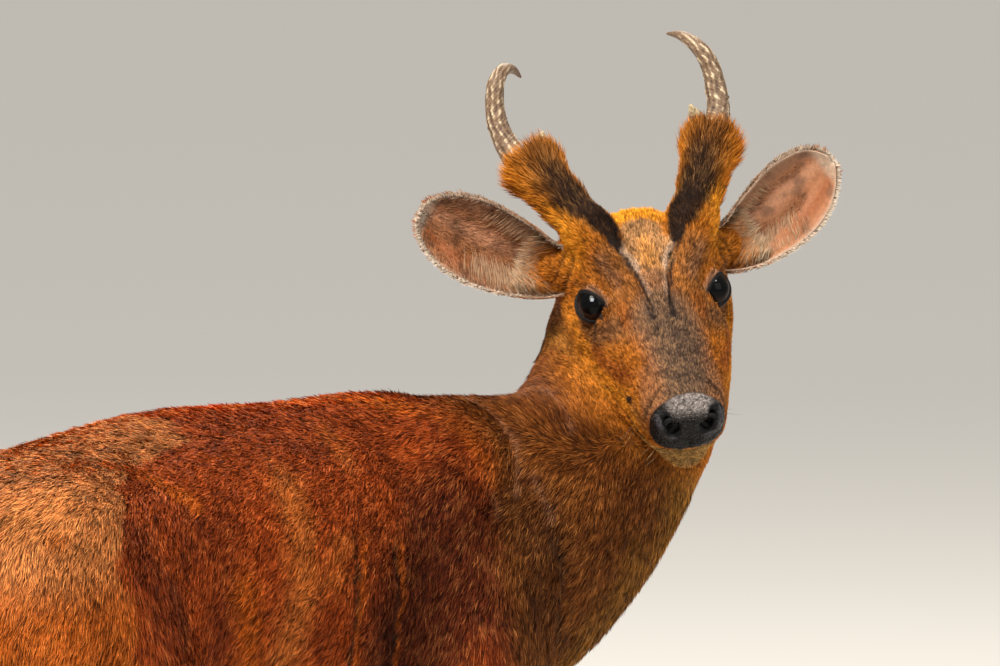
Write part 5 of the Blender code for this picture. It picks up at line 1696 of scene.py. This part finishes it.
bone, nodes, links, shader, grain = coated_material("antler bone", 0.50, 0.35, 700, 5, 0.70, 1.25)
links.new(bump_node(nodes, links, grain.outputs["Fac"], 0.55, 0.0006), shader.inputs["Normal"])
for name, side in (("left", 1), ("right", -1)):
    flip = np.array([1, side, 1])
    rng = np.random.default_rng(41)
    beam_rows, tine_rows = smooth_rows(BEAMS[name], 8), smooth_rows(TINES[name], 8)
    bm = bmesh.new()
    tube(bm, beam_rows, 24)
    tube(bm, tine_rows, 18)
    for i in range(BURR_BEADS + BEAM_BEADS):
        in_burr = i < BURR_BEADS
        row = 3 if in_burr else int(rng.integers(3, 22))
        centre = PEDICEL_END + beam_rows[row, :3]
        way = unit(beam_rows[row + 1, :3] - beam_rows[row - 1, :3])
        across = unit(np.cross(way, [0.1, 0.2, 1]))
        angle = 2 * math.pi * (i / BURR_BEADS if in_burr else rng.random())
        out = across * math.cos(angle) + np.cross(way, across) * math.sin(angle)
        size = rng.uniform(0.0020, 0.0030) if in_burr else rng.uniform(0.0007, 0.0014)
        height = ANTLER_RADIUS * beam_rows[row, 3] * (BURR_SHARE if in_burr else BEAM_SHARE)
        spot = centre + out * height + way * rng.normal(0, 0.0006)
        bmesh.ops.create_icosphere(bm, subdivisions=2, radius=size, matrix=Matrix.Translation(spot))
    antler = mesh_object(f"antler_{name}", bm)
    remeshed(antler, ANTLER_VOXEL)
    place = Neighbours(antler).relax(points_of(antler), np.ones(len(antler.data.vertices)), 2)
    put_points(antler, place)
    along, angle = around_beam(place, beam_rows[:, :3] + PEDICEL_END)
    groove = np.cos(angle * GROOVES + 2.0 * wandering(place, 0.016, 8)) * 0.5
    groove += 0.5 * wandering(place, 0.0035, 9)
    rough_part = 1 - smoothstep(0.55, 0.95, along)
    place = place + normals_of(antler) * (0.00042 * groove * rough_part)[:, None]
    colour = np.tile(paint(128, 104, 82), (len(place), 1))
    ridges = smoothstep(0.25, 0.85, groove) * (0.35 + 0.65 * rough_part)
    colour = mixed(colour, paint(222, 202, 168), 0.85 * ridges)
    colour = mixed(colour, paint(66, 48, 36), 0.75 * smoothstep(-0.25, -0.85, groove) * rough_part)
    colour = mixed(colour, paint(92, 66, 42), 0.55 * smoothstep(0.72, 0.98, along))
    tine_tip = distance_to_line(place, [PEDICEL_END + tine_rows[-1, :3]])[0]
    colour = mixed(colour, paint(226, 204, 160), 0.8 * smoothstep(0.016, 0.004, tine_tip))
    put_points(antler, from_head(place * flip))
    if side < 0:
        antler.data.flip_normals()
    paint_points(antler, colour)
    antler.data.materials.append(bone)
    antler.data.shade_smooth()
    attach(antler, "root")
    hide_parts(f"antler_beam_{name}", f"antler_tine_{name}")
    print(antler.name, len(antler.data.polygons), "faces")

# %% [markdown]
# A hoof is horn: smooth, hard, with faint rings where it grew and a flat sole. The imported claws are
# coarse, so each foot's four claws are copied, remeshed finely and relaxed until the facets go, and
# their soles are pressed flat on the floor again.

# %% Hooves
HOOF_VOXEL = 0.0012
SOLE = 0.0007
horn, nodes, links, shader = node_material("hoof horn", 0.38, 0.45)
horn_place = node(nodes, "ShaderNodeTexCoord")
stretch = node(nodes, "ShaderNodeMapping")
stretch.inputs["Scale"].default_value = (60, 60, 900)
rings = node(nodes, "ShaderNodeTexNoise", Scale=1.0, Detail=3.0)
links.new(horn_place.outputs["Object"], stretch.inputs["Vector"])
links.new(stretch.outputs["Vector"], rings.inputs["Vector"])
ramp = node(nodes, "ShaderNodeValToRGB")
ramp.color_ramp.elements[0].position, ramp.color_ramp.elements[1].position = 0.35, 0.70
ramp.color_ramp.elements[0].color = (*paint(30, 24, 22), 1)
ramp.color_ramp.elements[1].color = (*paint(84, 66, 54), 1)
links.new(rings.outputs["Fac"], ramp.inputs["Fac"])
links.new(ramp.outputs["Color"], shader.inputs["Base Color"])
links.new(bump_node(nodes, links, rings.outputs["Fac"], 0.5, 0.0005), shader.inputs["Normal"])
for foot in ("fore_left", "fore_right", "hind_left", "hind_right"):
    claws = [f"{kind}_{foot}_{which}" for kind in ("hoof", "dewclaw") for which in ("inner", "outer")]
    hooves = mesh_object(f"hooves_{foot}", copied_solids(claws, 0))
    remeshed(hooves, HOOF_VOXEL)
    place = Neighbours(hooves).relax(points_of(hooves), np.ones(len(hooves.data.vertices)), 5)
    place[:, 2] = np.where(place[:, 2] < SOLE, 0, place[:, 2])
    put_points(hooves, place)
    hooves.data.materials.clear()
    hooves.data.materials.append(horn)
    hooves.data.shade_smooth()
    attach(hooves, "root")
    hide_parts(*claws)
    print(hooves.name, len(hooves.data.polygons), "faces")
